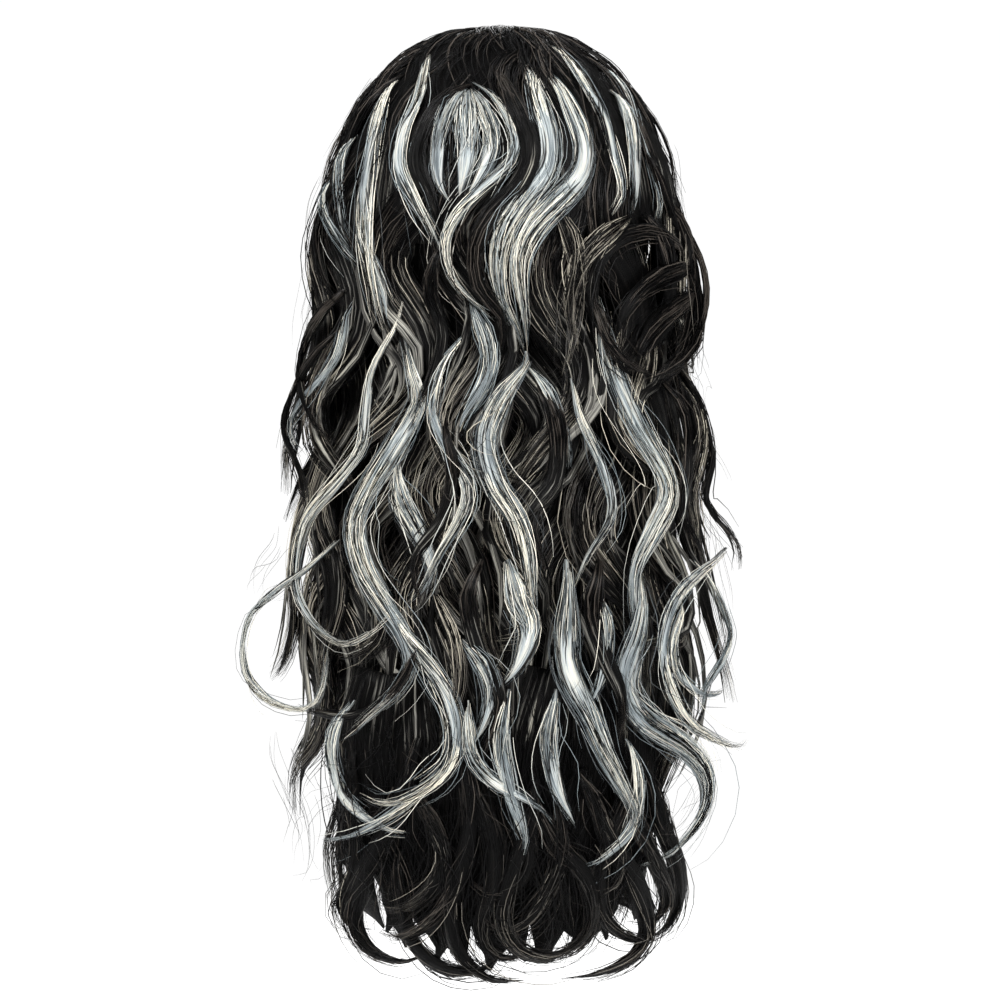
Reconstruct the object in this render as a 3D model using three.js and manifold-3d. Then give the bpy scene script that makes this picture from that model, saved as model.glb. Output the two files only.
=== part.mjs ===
// A long wavy costume wig: a stretch cap with an edge band, four tiers of black hair, two front
// falls and pale highlight locks. Millimetres, +Z up, +Y the side of the face opening, and the
// origin at the top of the head room, where the cap sits.
import * as THREE from "three";
import { mergeVertices } from "three/addons/utils/BufferGeometryUtils.js";
import Module from "manifold-3d";

const wasm = await Module();
wasm.setup();

// Driving sizes of the room inside the cap
const headHalfWidth = 76;
const headHalfLength = 97;
const headRise = 92; // from its widest level up to its top
const napeDrop = 180; // from its top down to the nape hairline

// Driving sizes of the cap and its band
const capWall = 1.4;
const bandWall = 1.6;
const bandHeight = 14;
const seatGap = 0.4; // between the cap and its band
const weftGap = 1.8; // between the cap and the hair on it, at the corners of their facets

// Driving sizes of the hair
const fallLength = 410; // from the nape hairline to the lowest tips
const fallHalfWidth = 104; // inside the fall, from side to side
const fallBack = 112; // inside the fall, behind the origin
const fallFront = 92; // inside the front falls, ahead of the origin
const topVolume = 15;
const sideVolume = 48;
const backVolume = 46;
const frontVolume = 26;
const waveLength = 140; // along a lock, from one bend to the next like it
const lockWidth = 44;
const paleWidth = 17;

const blackFibre = new THREE.MeshStandardMaterial({ color: 0x0b0b0d, roughness: 0.42, metalness: 0 });
const paleFibre = new THREE.MeshStandardMaterial({ color: 0xb9bcb4, roughness: 0.38, metalness: 0 });
const capNet = new THREE.MeshStandardMaterial({ color: 0x121214, roughness: 0.85, metalness: 0 });
const elastic = new THREE.MeshStandardMaterial({ color: 0x1b1b1e, roughness: 0.8, metalness: 0 });

// Levels from the top down. The dome and nape rows give the room inside the cap and the fall rows
// the room below it: down is a share of headRise, then of napeDrop, then of fallLength below the
// nape; wide, back and front are shares of the cap's sizes, then of the fall's. top, side, rear and
// fore are the hair over that, as shares of topVolume, sideVolume, backVolume and frontVolume.
const levels = [
  { zone: "dome", down: 0, wide: 0, back: 0, front: 0, top: 1, side: 0, rear: 0, fore: 0 },
  { zone: "dome", down: 0.09, wide: 0.42, back: 0.42, front: 0.42, top: 1, side: 0.13, rear: 0.08, fore: 0.1 },
  { zone: "dome", down: 0.33, wide: 0.74, back: 0.74, front: 0.74, top: 1, side: 0.34, rear: 0.32, fore: 0.35 },
  { zone: "dome", down: 0.59, wide: 0.91, back: 0.91, front: 0.91, top: 0.9, side: 0.5, rear: 0.58, fore: 0.55 },
  { zone: "dome", down: 0.9, wide: 0.99, back: 1, front: 0.98, top: 0.4, side: 0.72, rear: 0.8, fore: 0.7 },
  { zone: "nape", down: 0.69, wide: 0.97, back: 0.96, front: 0.94, top: 0, side: 0.96, rear: 1, fore: 0.8 },
  { zone: "nape", down: 1, wide: 0.92, back: 0.8, front: 0.86, top: 0, side: 1.06, rear: 1.3, fore: 0.9 },
  { zone: "fall", down: 0.15, wide: 0.79, back: 0.74, front: 0.84, top: 0, side: 1.08, rear: 1.38, fore: 1 },
  { zone: "fall", down: 0.34, wide: 0.93, back: 0.89, front: 0.96, top: 0, side: 1.06, rear: 1.16, fore: 1 },
  { zone: "fall", down: 0.56, wide: 1, back: 1, front: 1, top: 0, side: 1.04, rear: 1.02, fore: 0.96 },
  { zone: "fall", down: 0.78, wide: 0.94, back: 0.96, front: 0.98, top: 0, side: 0.96, rear: 0.96, fore: 0.9 },
  { zone: "fall", down: 1, wide: 0.77, back: 0.86, front: 0.94, top: 0, side: 0.7, rear: 0.7, fore: 0.8 },
];

// How far the inner tiers spread outwards where the outer ones have ended, from level openFrom down
const openFrom = 8;
const openRows = [{ open: 1 }, { open: 1.36 }, { open: 1.9 }, { open: 3.4 }];

const zones = {
  dome: { top: 0, drop: headRise, wide: headHalfWidth, back: headHalfLength, front: headHalfLength },
  nape: { top: 0, drop: napeDrop, wide: headHalfWidth, back: headHalfLength, front: headHalfLength },
  fall: { top: -napeDrop, drop: fallLength, wide: fallHalfWidth, back: fallBack, front: fallFront },
};

// The same rows in millimetres
const sections = levels.map((row) => {
  const zone = zones[row.zone];
  return {
    z: zone.top - zone.drop * row.down,
    wide: zone.wide * row.wide,
    back: zone.back * row.back,
    front: zone.front * row.front,
    top: topVolume * row.top,
    side: sideVolume * row.side,
    rear: backVolume * row.rear,
    fore: frontVolume * row.fore,
  };
});
const lastLevel = sections.length - 1;

// A smooth curve through one column of a table of rows, at a level between them
function along(rows, column, level) {
  const last = rows.length - 1;
  const i = Math.min(Math.max(Math.floor(level), 0), last - 1);
  const t = level - i;
  const [a, b, c, d] = [i - 1, i, i + 1, i + 2].map((k) => rows[Math.min(Math.max(k, 0), last)][column]);
  const rise = (c - a) / 2;
  const next = (d - b) / 2;
  const cubic = 2 * (b - c) + rise + next;
  const square = 3 * (c - b) - 2 * rise - next;
  return ((cubic * t + square) * t + rise) * t + b;
}

const mix = (a, b, t) => a + (b - a) * t;
const smooth = (t) => THREE.MathUtils.smoothstep(t, 0, 1);

// A point on the wall of that room. Angle 0 is the back.
function seatPoint(angle, level) {
  const reach = Math.cos(angle);
  const depth = along(sections, reach > 0 ? "back" : "front", level);
  const wide = along(sections, "wide", level);
  return new THREE.Vector3(wide * Math.sin(angle), -depth * reach, along(sections, "z", level));
}

// A point of that wall moved out by a distance square to it
function seatOffset(angle, level, distance) {
  const step = 0.01;
  const low = Math.max(level, step);
  const across = seatPoint(angle + step, low).sub(seatPoint(angle - step, low));
  const down = seatPoint(angle, low + step).sub(seatPoint(angle, low - step));
  const out = level < step ? new THREE.Vector3(0, 0, 1) : down.cross(across).normalize();
  return seatPoint(angle, level).addScaledVector(out, distance);
}

// The cap's rim, as a level, at angles from the back to the forehead
const rimRows = [{ level: 5.95 }, { level: 5.8 }, { level: 4.95 }, { level: 4.4 }, { level: 3.1 }];

// A level from such rows, which run from the back to the front of either side
const edgeLevel = (rows, angle) => along(rows, "level", (Math.abs(angle) * (rows.length - 1)) / Math.PI);

// The level where the band's upper edge lies
function bandTop(angle) {
  const low = edgeLevel(rimRows, angle);
  const step = 0.25;
  return low - (bandHeight * step) / seatPoint(angle, low).distanceTo(seatPoint(angle, low - step));
}

// How far the hair's underside lies from that wall: on the cap, and further out over the band
function underHair(angle, level) {
  const overBand = smooth((level - bandTop(angle) + 0.3) / 0.2);
  return capWall + weftGap + overBand * (seatGap + bandWall);
}

// A point in the hair: share 0 lies on the cap and its band, share 1 is the black hair's outer face
function hairPoint(angle, level, share) {
  const inner = seatOffset(angle, level, underHair(angle, level));
  const reach = Math.cos(angle);
  const out = along(sections, reach > 0 ? "rear" : "fore", level);
  const side = along(sections, "side", level);
  const lift = along(sections, "top", level);
  return inner.add(
    new THREE.Vector3(side * Math.sin(angle), -out * reach, lift).multiplyScalar(share),
  );
}

// Lengths, in millimetres, of one radian and of one level at a place in the hair
function localScale(angle, level, share) {
  const step = 0.02;
  const low = Math.max(level, step);
  const here = hairPoint(angle, low, share);
  return {
    perRadian: Math.max(hairPoint(angle + step, low, share).distanceTo(here) / step, 1),
    perLevel: Math.max(hairPoint(angle, low + step, share).distanceTo(here) / step, 1),
  };
}

function solidOf(positions, triangles) {
  const geometry = new THREE.BufferGeometry();
  geometry.setAttribute("position", new THREE.Float32BufferAttribute(positions, 3));
  geometry.setIndex(triangles);
  const merged = mergeVertices(geometry, 1e-3);
  const corners = [];
  const index = merged.index.array;
  for (let i = 0; i < index.length; i += 3) {
    const [a, b, c] = index.slice(i, i + 3);
    if (a !== b && b !== c && a !== c) corners.push(a, b, c);
  }
  const made = new wasm.Manifold(
    new wasm.Mesh({
      numProp: 3,
      vertProperties: merged.getAttribute("position").array,
      triVerts: new Uint32Array(corners),
    }),
  );
  if (made.volume() > 0) return made;
  return solidOf(positions, triangles.toReversed());
}

function meshOf(name, solid, material) {
  const made = solid.getMesh();
  const geometry = new THREE.BufferGeometry();
  geometry.setAttribute("position", new THREE.Float32BufferAttribute(made.vertProperties, 3));
  geometry.setIndex(new THREE.BufferAttribute(new Uint32Array(made.triVerts), 1));
  geometry.computeVertexNormals();
  const mesh = new THREE.Mesh(geometry, material);
  mesh.name = name;
  return mesh;
}

// The largest body of a cut solid, without the slivers beside it
function mainBody(solid) {
  return solid.decompose().reduce((a, b) => (a.volume() > b.volume() ? a : b));
}

// A closed surface through rings of points. Each end is closed by a fan unless wraps is set.
function loft(rings, wraps = false) {
  const sides = rings[0].length;
  const positions = rings.flat().flatMap((p) => [p.x, p.y, p.z]);
  const triangles = [];
  const count = wraps ? rings.length : rings.length - 1;
  for (let i = 0; i < count; i++) {
    const next = (i + 1) % rings.length;
    for (let k = 0; k < sides; k++) {
      const [a, b] = [i * sides + k, i * sides + ((k + 1) % sides)];
      const [c, d] = [next * sides + k, next * sides + ((k + 1) % sides)];
      triangles.push(a, b, d, a, d, c);
    }
  }
  if (!wraps) {
    const end = (rings.length - 1) * sides;
    for (let k = 1; k < sides - 1; k++) {
      triangles.push(0, k + 1, k, end, end + k, end + k + 1);
    }
  }
  return solidOf(positions, triangles);
}

// Evenly spaced angles all the way round, from the front
const around = (count) => Array.from({ length: count }, (_, i) => -Math.PI + (i * 2 * Math.PI) / count);

const rimColumns = 26;

// The cap: a thin dome, open below. Its last row but one lies along the band's upper edge.
function makeCap() {
  const rows = 5;
  const levelOf = (row, angle) =>
    row > rows ? edgeLevel(rimRows, angle) : (bandTop(angle) * row) / rows;
  const ring = (row, offset) => around(rimColumns).map((a) => seatOffset(a, levelOf(row, a), offset));
  const rings = [];
  for (let row = 0; row <= rows + 1; row++) rings.push(ring(row, 0));
  for (let row = rows + 1; row >= 0; row--) rings.push(ring(row, capWall));
  return loft(rings);
}

// A flat elastic ring round the outside of the cap's rim
function makeBand() {
  const inner = capWall + seatGap;
  const outer = inner + bandWall;
  const rings = around(rimColumns).map((a) => [
    seatOffset(a, edgeLevel(rimRows, a), inner),
    seatOffset(a, bandTop(a), inner),
    seatOffset(a, bandTop(a), outer),
    seatOffset(a, edgeLevel(rimRows, a), outer),
  ]);
  return loft(rings, true);
}

// A lock's centre line in the hair: it starts at an angle and a level, keeps its length, and
// sways from side to side. Heading 0 is straight down; hook turns the tip, over the share curl.
function lockPath(lock) {
  const steps = Math.ceil(((lock.nested ? 4 : 4.6) * lock.length) / waveLength);
  const stride = lock.length / steps;
  const path = [];
  let angle = THREE.MathUtils.degToRad(lock.from);
  let level = lock.level;
  for (let i = 0; i <= steps; i++) {
    const t = i / steps;
    const turn = (2 * Math.PI * lock.length * t) / (waveLength * lock.wave) + lock.phase;
    const loose = smooth((lock.length * t) / waveLength + 0.2);
    const heading = THREE.MathUtils.degToRad(
      lock.lean + lock.sway * loose * Math.sin(turn) + lock.hook * smooth((t - 1 + lock.curl) / lock.curl),
    );
    path.push({ angle, level, heading, t });
    const scale = localScale(angle, level, lock.outer);
    angle += (Math.sin(heading) * stride) / scale.perRadian;
    level += (Math.cos(heading) * stride) / scale.perLevel;
    level = Math.min(level, lastLevel);
  }
  return path;
}

// How full a lock is along its length: drawn in at the root, full, then tapering to the tip
const fullness = (t, tip) => mix(0.6, 1, smooth(t / 0.2)) * mix(1, tip, smooth((t - 0.62) / 0.38));

const rootShare = -0.015; // a root lies a little closer to the cap than the crown's wide facets

// A tapered lock in its tier's band of the hair. Its section is flat inside and ridged outside.
function lockSolid(lock) {
  const sides = 5;
  const rings = lockPath(lock).map(({ angle, level, heading, t }) => {
    const open = lock.nested ? along(openRows, "open", Math.max(level - openFrom, 0)) : 1;
    const risen = lock.nested ? smooth((level - lock.level) / lock.rise) : 1;
    const inner = mix(rootShare, lock.inner * open, risen);
    const outer = mix(lock.start ?? lock.outer, lock.outer * open, risen);
    const scale = localScale(angle, level, lock.outer);
    const half = (lock.width / 2) * fullness(t, lock.tip ?? 0.2);
    const flat = -Math.cos(Math.PI / sides); // the inner face's height on a section of radius 1
    const full = (outer - inner) / (1 - flat);
    const deep = full * mix(1, 0.4, smooth((t - 0.6) / 0.4));
    const middle = outer - full;
    return Array.from({ length: sides }, (_, k) => {
      const turn = Math.PI / 2 + (2 * Math.PI * k) / sides;
      const out = half * Math.cos(turn);
      return hairPoint(
        angle + (Math.cos(heading) * out) / scale.perRadian,
        level - (Math.sin(heading) * out) / scale.perLevel,
        middle + deep * Math.sin(turn),
      );
    });
  });
  return loft(rings);
}

// The tiers from the nape up. reach is the angle of the last lock on either side, level is where
// the weft is sewn, rise how many levels it takes to reach its own band of the hair,
// inner and outer that band, wide the locks' width as a share of lockWidth, and long their length
// as a share of the wig's own. tip is what is left of its width at the tip.
const wigLength = napeDrop + fallLength;
const tiers = {
  nape: {
    locks: 7, reach: 60, level: 5.3, rise: 0.5,
    inner: 0, outer: 0.19, wide: 1.2, long: 0.88, sway: 36, tip: 0.65,
  },
  lower: {
    locks: 7, reach: 64, level: 4.5, rise: 0.6,
    inner: 0.23, outer: 0.41, wide: 1.1, long: 0.79, sway: 40, tip: 0.4,
  },
  mid: {
    locks: 8, reach: 78, level: 3.6, rise: 0.6,
    inner: 0.45, outer: 0.62, wide: 1, long: 0.7, sway: 42, tip: 0.2,
  },
};

// A repeatable spread of numbers between 0 and 1
const spread = (n) => (n * 0.618034) % 1;

function tierLocks(tier) {
  return Array.from({ length: tier.locks }, (_, i) => ({
    from: mix(-tier.reach, tier.reach, i / (tier.locks - 1)),
    level: tier.level,
    nested: true,
    rise: tier.rise,
    inner: tier.inner,
    outer: tier.outer,
    length: wigLength * tier.long * mix(0.88, 1, spread(i * 3 + 1)),
    width: lockWidth * tier.wide,
    wave: 1,
    sway: tier.sway,
    tip: tier.tip,
    phase: mix(0, 1.6, spread(i)) + (i % 2) * 0.5,
    lean: 0,
    hook: (i % 2 ? 1 : -1) * mix(40, 100, spread(i + 5)),
    curl: 0.25,
  }));
}

const fused = (solids) => solids.reduce((a, b) => a.add(b));

// The crown hair's lower edge, as a level, at angles from the back to the forehead
const skinRows = [{ level: 5.0 }, { level: 4.9 }, { level: 4.3 }, { level: 3.7 }, { level: 2.9 }];
const skinInner = 0.72;
const skinOuter = 0.84;
const ridges = 12;

// The crown's top: solid hair down to a level above the first weft below it and all the way at the
// forehead, then a skin over the lower tiers
function makeSkin() {
  const columns = 2 * ridges;
  const solidRows = 4;
  const skinRowCount = 3;
  const solidLevel = 2.6;
  const outerShare = (angle, level) => {
    const ridge = 0.05 * Math.cos(ridges * angle + 1.2 * level) * smooth(level / 1.5);
    const parting = 0.3 * smooth((Math.abs(angle) - 3) / 0.14) * smooth((level - 0.5) / 0.5);
    return skinOuter + ridge - parting;
  };
  const behind = (angle) => smooth((2.9 - Math.abs(angle)) / 0.3);
  const tuft = 0.3; // how far, in levels, each second column reaches below the edge
  const edge = (angle) => edgeLevel(skinRows, angle) + tuft * Math.cos(ridges * angle) * behind(angle);
  const ring = (row, isOuter) =>
    around(columns).map((a) => {
      const down = (row - solidRows) / skinRowCount;
      const level = down > 0 ? mix(solidLevel, edge(a), down) : (solidLevel * row) / solidRows;
      const inner = down > 0 ? skinInner * behind(a) : 0;
      return hairPoint(a, level, isOuter ? outerShare(a, level) : inner);
    });
  const rings = [];
  for (let row = 0; row <= solidRows + skinRowCount; row++) rings.push(ring(row, true));
  for (let row = solidRows + skinRowCount; row >= 0; row--) rings.push(ring(row, false));
  return loft(rings);
}

// The crown's locks: the angle and level where each leaves the skin, its length as a share of
// the wig's, its wave's phase, its lean, its width as a share of lockWidth, and its tip's hook
const crownRows = [
  { from: -128, level: 1.9, long: 0.56, phase: 0.2, lean: -14, wide: 0.9, hook: -60 },
  { from: -104, level: 2.0, long: 0.58, phase: 1.4, lean: -4, wide: 0.95, hook: 50 },
  { from: -80, level: 2.2, long: 0.52, phase: 0.6, lean: 0, wide: 1.0, hook: -70 },
  { from: -55, level: 2.2, long: 0.56, phase: 1.9, lean: 0, wide: 1.0, hook: 60 },
  { from: -30, level: 2.4, long: 0.5, phase: 0.3, lean: 0, wide: 0.9, hook: -50 },
  { from: -6, level: 2.4, long: 0.55, phase: 1.2, lean: 0, wide: 0.9, hook: 60 },
  { from: 19, level: 2.4, long: 0.52, phase: 0.1, lean: 0, wide: 0.95, hook: -60 },
  { from: 44, level: 2.2, long: 0.57, phase: 1.6, lean: 0, wide: 1.0, hook: 70 },
  { from: 72, level: 2.2, long: 0.42, phase: 0.4, lean: 2, wide: 1.35, hook: -90 },
  { from: 104, level: 2.0, long: 0.58, phase: 0.9, lean: 4, wide: 0.95, hook: -50 },
  { from: 128, level: 1.9, long: 0.56, phase: 2.1, lean: 14, wide: 0.9, hook: 60 },
];

function crownLock(row) {
  return lockSolid({
    ...row,
    nested: true,
    rise: 1.0,
    inner: skinInner,
    start: skinOuter,
    outer: 0.93,
    length: wigLength * row.long,
    width: lockWidth * row.wide,
    wave: 1,
    sway: 40,
    curl: 0.25,
  });
}

// A front fall: three locks from the temple, on one side
function frontFall(side) {
  const locks = [104, 116, 128].map((from, i) => ({
    from: side * from,
    level: 3.6,
    nested: true,
    rise: 0.4,
    inner: 0.06,
    outer: 0.44,
    length: wigLength * mix(0.5, 0.56, spread(i + 2)),
    width: lockWidth * 0.85,
    wave: 1,
    sway: 34,
    phase: i * 0.7,
    lean: 0,
    hook: side * (i % 2 ? 60 : -60),
    curl: 0.25,
  }));
  return fused(locks.map(lockSolid));
}

// The pale locks, which lie on the black ones. Rows with one number are parts of one lock. from and
// level say where each starts; long is a share of the wig's length, wave of waveLength and wide of
// paleWidth; phase, lean, sway, hook and curl shape it as in lockPath.
const paleRows = [
  {
    lock: 1, from: -68, level: 2.4, long: 0.62, wide: 0.9,
    wave: 1.42, phase: 1.8, lean: 8, sway: 40, hook: -84,
  },
  {
    lock: 1, from: -59, level: 7.6, long: 0.38, wide: 0.7,
    wave: 1.79, phase: 3.9, lean: -23, sway: 43, hook: 101, curl: 0.63,
  },
  {
    lock: 1, from: -58, level: 7.6, long: 0.25, wide: 0.8,
    wave: 1.37, phase: 5.5, lean: 3, sway: 40, hook: 140, curl: 0.8,
  },
  {
    lock: 2, from: -79, level: 1.0, long: 0.54, wide: 0.9,
    wave: 0.9, phase: 6.3, lean: 25, sway: 33, hook: -57, curl: 0.7,
  },
  {
    lock: 2, from: -39, level: 6.6, long: 0.47, wide: 1.2,
    wave: 1.73, phase: 5.7, lean: 3, sway: 41, hook: -79,
  },
  {
    lock: 3, from: -16, level: 1.7, long: 0.37, wide: 0.7,
    wave: 1.79, phase: 1.8, lean: 12, sway: 47, hook: 44,
  },
  {
    lock: 4, from: 7, level: 1.4, long: 0.68, wide: 1.3,
    wave: 1.18, phase: -0.2, lean: -4, sway: 46, hook: -3,
  },
  {
    lock: 4, from: -5, level: 7.5, long: 0.5, wide: 1.1,
    wave: 1.38, phase: 0.8, lean: 10, sway: 49, hook: -73,
  },
  {
    lock: 5, from: 35, level: 2.8, long: 0.29, wide: 0.7,
    wave: 0.94, phase: 1.3, lean: -9, sway: 41, hook: -17, curl: 0.3,
  },
  {
    lock: 6, from: 52, level: 1.2, long: 0.79, wide: 1.5,
    wave: 1.22, phase: 5.9, lean: -6, sway: 25, hook: -2, curl: 0.8,
  },
  {
    lock: 6, from: 31, level: 8.3, long: 0.41, wide: 1.3,
    wave: 1.48, phase: 5.3, lean: 12, sway: 60, hook: -166,
  },
  {
    lock: 6, from: 40, level: 7.6, long: 0.35, wide: 1.0,
    wave: 1.33, phase: 5.4, lean: 1, sway: 6, hook: 151, curl: 0.78,
  },
  {
    lock: 7, from: -21, level: 2.7, long: 0.17, wide: 1.5,
    wave: 0.88, phase: 4.7, lean: 2, sway: 60, hook: -84, curl: 0.6,
  },
];

// A pale lock of one or more parts, each of which is a lock
function paleLock(rows) {
  const parts = rows.map((row) => ({
    curl: 0.2,
    ...row,
    inner: 0.95,
    outer: 1.06,
    length: wigLength * row.long,
    width: paleWidth * row.wide,
  }));
  return fused(parts.map(lockSolid));
}

const wig = new THREE.Group();
wig.add(meshOf("wig_cap", makeCap(), capNet));
wig.add(meshOf("edge_band", makeBand(), elastic));
for (const [name, tier] of Object.entries(tiers)) {
  wig.add(meshOf(name + "_hair", mainBody(fused(tierLocks(tier).map(lockSolid))), blackFibre));
}
wig.add(meshOf("crown_hair", mainBody(fused([makeSkin(), ...crownRows.map(crownLock)])), blackFibre));
wig.add(meshOf("front_fall_left", frontFall(-1), blackFibre));
wig.add(meshOf("front_fall_right", frontFall(1), blackFibre));
for (const [number, rows] of Object.entries(Object.groupBy(paleRows, (row) => row.lock))) {
  wig.add(meshOf("pale_lock_0" + number, paleLock(rows), paleFibre));
}

export default wig;
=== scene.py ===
import math

import bmesh
import bpy
import mathutils
import numpy as np
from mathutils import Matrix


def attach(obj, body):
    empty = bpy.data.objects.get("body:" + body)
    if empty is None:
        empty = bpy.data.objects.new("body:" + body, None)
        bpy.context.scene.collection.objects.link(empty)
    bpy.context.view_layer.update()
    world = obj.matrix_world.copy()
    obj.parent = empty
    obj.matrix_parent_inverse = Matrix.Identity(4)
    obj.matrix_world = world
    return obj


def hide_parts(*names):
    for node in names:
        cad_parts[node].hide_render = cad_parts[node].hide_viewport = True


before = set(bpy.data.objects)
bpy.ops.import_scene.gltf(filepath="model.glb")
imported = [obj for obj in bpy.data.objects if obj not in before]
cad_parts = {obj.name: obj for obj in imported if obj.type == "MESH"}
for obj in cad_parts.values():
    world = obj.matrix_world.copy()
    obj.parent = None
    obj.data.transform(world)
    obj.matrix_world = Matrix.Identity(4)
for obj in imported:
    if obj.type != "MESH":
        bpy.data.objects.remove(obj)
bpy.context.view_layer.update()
print("frame loaded")


# Camera first: straight at the back of the wig, a little back from it as with a portrait lens
view = {
    "span": 0.6226,  # metres across the picture, at the middle's distance
    "middle": (0.0, -0.10, -0.288),  # the point of the hair at the picture's middle
    "distance": 2.9,
    "sensor": 36.0,
}


def makeCamera():
    data = bpy.data.cameras.new("camera")
    data.sensor_width = view["sensor"]
    data.lens = view["sensor"] * view["distance"] / view["span"]
    cam = bpy.data.objects.new("camera", data)
    bpy.context.scene.collection.objects.link(cam)
    x, y, z = view["middle"]
    cam.location = (x, y - view["distance"], z)
    cam.rotation_euler = (math.radians(90), 0, 0)
    bpy.context.scene.camera = cam


makeCamera()
print("camera placed")


# The form of the hair: a room inside for the head and shoulders, and the hair's thickness over it
hair = {
    "capWide": 0.076, "capLong": 0.097, "capRise": 0.092, "napeDrop": 0.180,
    "fallLong": 0.410, "fallWide": 0.104, "fallBack": 0.112, "fallFront": 0.092,
    "top": 0.015, "side": 0.048, "rear": 0.046, "fore": 0.026,
    "seat": 0.0036,  # from the room's wall to the underside of the hair
    "waveLength": 0.140,
    "lockWidth": 0.044,
}
hair["length"] = hair["napeDrop"] + hair["fallLong"]

# zone, down, wide, back, front, top, side, rear, fore, as shares of the sizes above
levelRows = [
    ("dome", 0.00, 0.00, 0.00, 0.00, 1.0, 0.00, 0.00, 0.00),
    ("dome", 0.09, 0.42, 0.42, 0.42, 1.0, 0.13, 0.08, 0.10),
    ("dome", 0.33, 0.74, 0.74, 0.74, 1.0, 0.34, 0.32, 0.35),
    ("dome", 0.59, 0.91, 0.91, 0.91, 0.9, 0.50, 0.58, 0.55),
    ("dome", 0.90, 0.99, 1.00, 0.98, 0.4, 0.72, 0.80, 0.70),
    ("nape", 0.69, 0.97, 0.96, 0.94, 0.0, 0.96, 1.00, 0.80),
    ("nape", 1.00, 0.92, 0.80, 0.86, 0.0, 1.06, 1.30, 0.90),
    ("fall", 0.15, 0.79, 0.74, 0.84, 0.0, 1.08, 1.38, 1.00),
    ("fall", 0.34, 0.93, 0.89, 0.96, 0.0, 1.06, 1.16, 1.00),
    ("fall", 0.56, 1.00, 1.00, 1.00, 0.0, 1.04, 1.02, 0.96),
    ("fall", 0.78, 0.94, 0.96, 0.98, 0.0, 0.96, 0.96, 0.90),
    ("fall", 1.00, 0.77, 0.86, 0.94, 0.0, 0.70, 0.70, 0.80),
]
# how far the tiers spread apart below this level, a value for each level
openFrom = 8
openRows = np.array([1, 1.36, 1.9, 3.4])


def levelTable():
    drops = {
        "dome": (0.0, hair["capRise"]),
        "nape": (0.0, hair["napeDrop"]),
        "fall": (-hair["napeDrop"], hair["fallLong"]),
    }
    wide, back, front = hair["capWide"], hair["capLong"], hair["capLong"]
    table = []
    for zone, down, w, b, f, top, side, rear, fore in levelRows:
        if zone == "fall":
            wide, back, front = hair["fallWide"], hair["fallBack"], hair["fallFront"]
        start, drop = drops[zone]
        table.append((start - drop * down, wide * w, back * b, front * f,
                      hair["top"] * top, hair["side"] * side, hair["rear"] * rear, hair["fore"] * fore))
    return dict(zip(("z", "wide", "back", "front", "top", "side", "rear", "fore"), np.array(table).T))


levels = levelTable()
lastLevel = len(levelRows) - 1


def along(rows, level):  # a smooth curve through a row of values
    last = len(rows) - 1
    i = np.clip(np.floor(level).astype(int), 0, last - 1)
    t = level - i
    a, b, c, d = (rows[np.clip(i + k, 0, last)] for k in (-1, 0, 1, 2))
    rise, after = (c - a) / 2, (d - b) / 2
    return ((2 * (b - c) + rise + after) * t + 3 * (c - b) - 2 * rise - after) * t * t + rise * t + b


def smooth(t):
    t = np.clip(t, 0, 1)
    return t * t * (3 - 2 * t)


def mix(a, b, t):
    return a + (b - a) * t


def wall(angle, level):  # the room's wall; angle 0 is the back
    reach = np.cos(angle)
    depth = np.where(reach > 0, along(levels["back"], level), along(levels["front"], level))
    across = along(levels["wide"], level) * np.sin(angle)
    return np.stack([across, -depth * reach, along(levels["z"], level)], -1)


def hairPoint(angle, level, share):  # a place in the hair; share 0 is its underside and 1 its outside
    angle, level, share = np.broadcast_arrays(*(np.asarray(each, float) for each in (angle, level, share)))
    step = 0.01
    low = np.maximum(level, 2 * step)
    across = wall(angle + step, low) - wall(angle - step, low)
    down = wall(angle, low + step) - wall(angle, low - step)
    out = np.cross(down, across)
    out /= np.linalg.norm(out, axis=-1, keepdims=True)
    reach = np.cos(angle)
    outward = np.where(reach > 0, along(levels["rear"], level), along(levels["fore"], level))
    sideways = along(levels["side"], level) * np.sin(angle)
    over = np.stack([sideways, -outward * reach, along(levels["top"], level)], -1)
    return wall(angle, level) + out * hair["seat"] + over * share[..., None]


def scaleAt(angle, level, share):  # metres of one radian and of one level, and of the whole thickness
    step = 0.02
    low = np.maximum(level, step)
    here = hairPoint(angle, low, share)
    perRadian = np.linalg.norm(hairPoint(angle + step, low, share) - here, axis=-1) / step
    perLevel = np.linalg.norm(hairPoint(angle, low + step, share) - here, axis=-1) / step
    thick = np.linalg.norm(hairPoint(angle, low, 1) - hairPoint(angle, low, 0), axis=-1)
    return np.maximum(perRadian, 0.001), np.maximum(perLevel, 0.001), np.maximum(thick, 0.004)


# Guides: the middle line of each lock, with its band of the thickness and its half width
def guideOf(angle, level, heading, lock, lift=0.0):
    t = np.linspace(0, 1, len(angle))
    perRadian, perLevel, thick = scaleAt(angle, level, lock["outer"])
    spread = along(openRows, np.maximum(level - openFrom, 0)) if lock.get("nested") else 1.0
    risen = smooth((level - lock["level"]) / lock["rise"]) if lock.get("rise") else 1.0
    inner = mix(0.0, lock["inner"] * spread, risen) + lift / thick
    outer = mix(lock.get("start", lock["outer"]), lock["outer"] * spread, risen) + lift / thick
    full = mix(lock.get("root", 0.6), 1, smooth(t / 0.25))
    full = full * mix(1, lock.get("tip", 0.35), smooth((t - 0.62) / 0.38))
    every = np.ones(len(t))
    return {
        "t": t, "angle": angle, "level": level, "heading": heading,
        "perRadian": perRadian, "perLevel": perLevel, "thick": thick,
        "inner": inner * every, "outer": outer * every, "half": lock["width"] / 2 * full,
        "length": lock["length"], "phase": lock.get("phase", 0.0), "wave": lock.get("wave", 1.0),
    }


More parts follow.
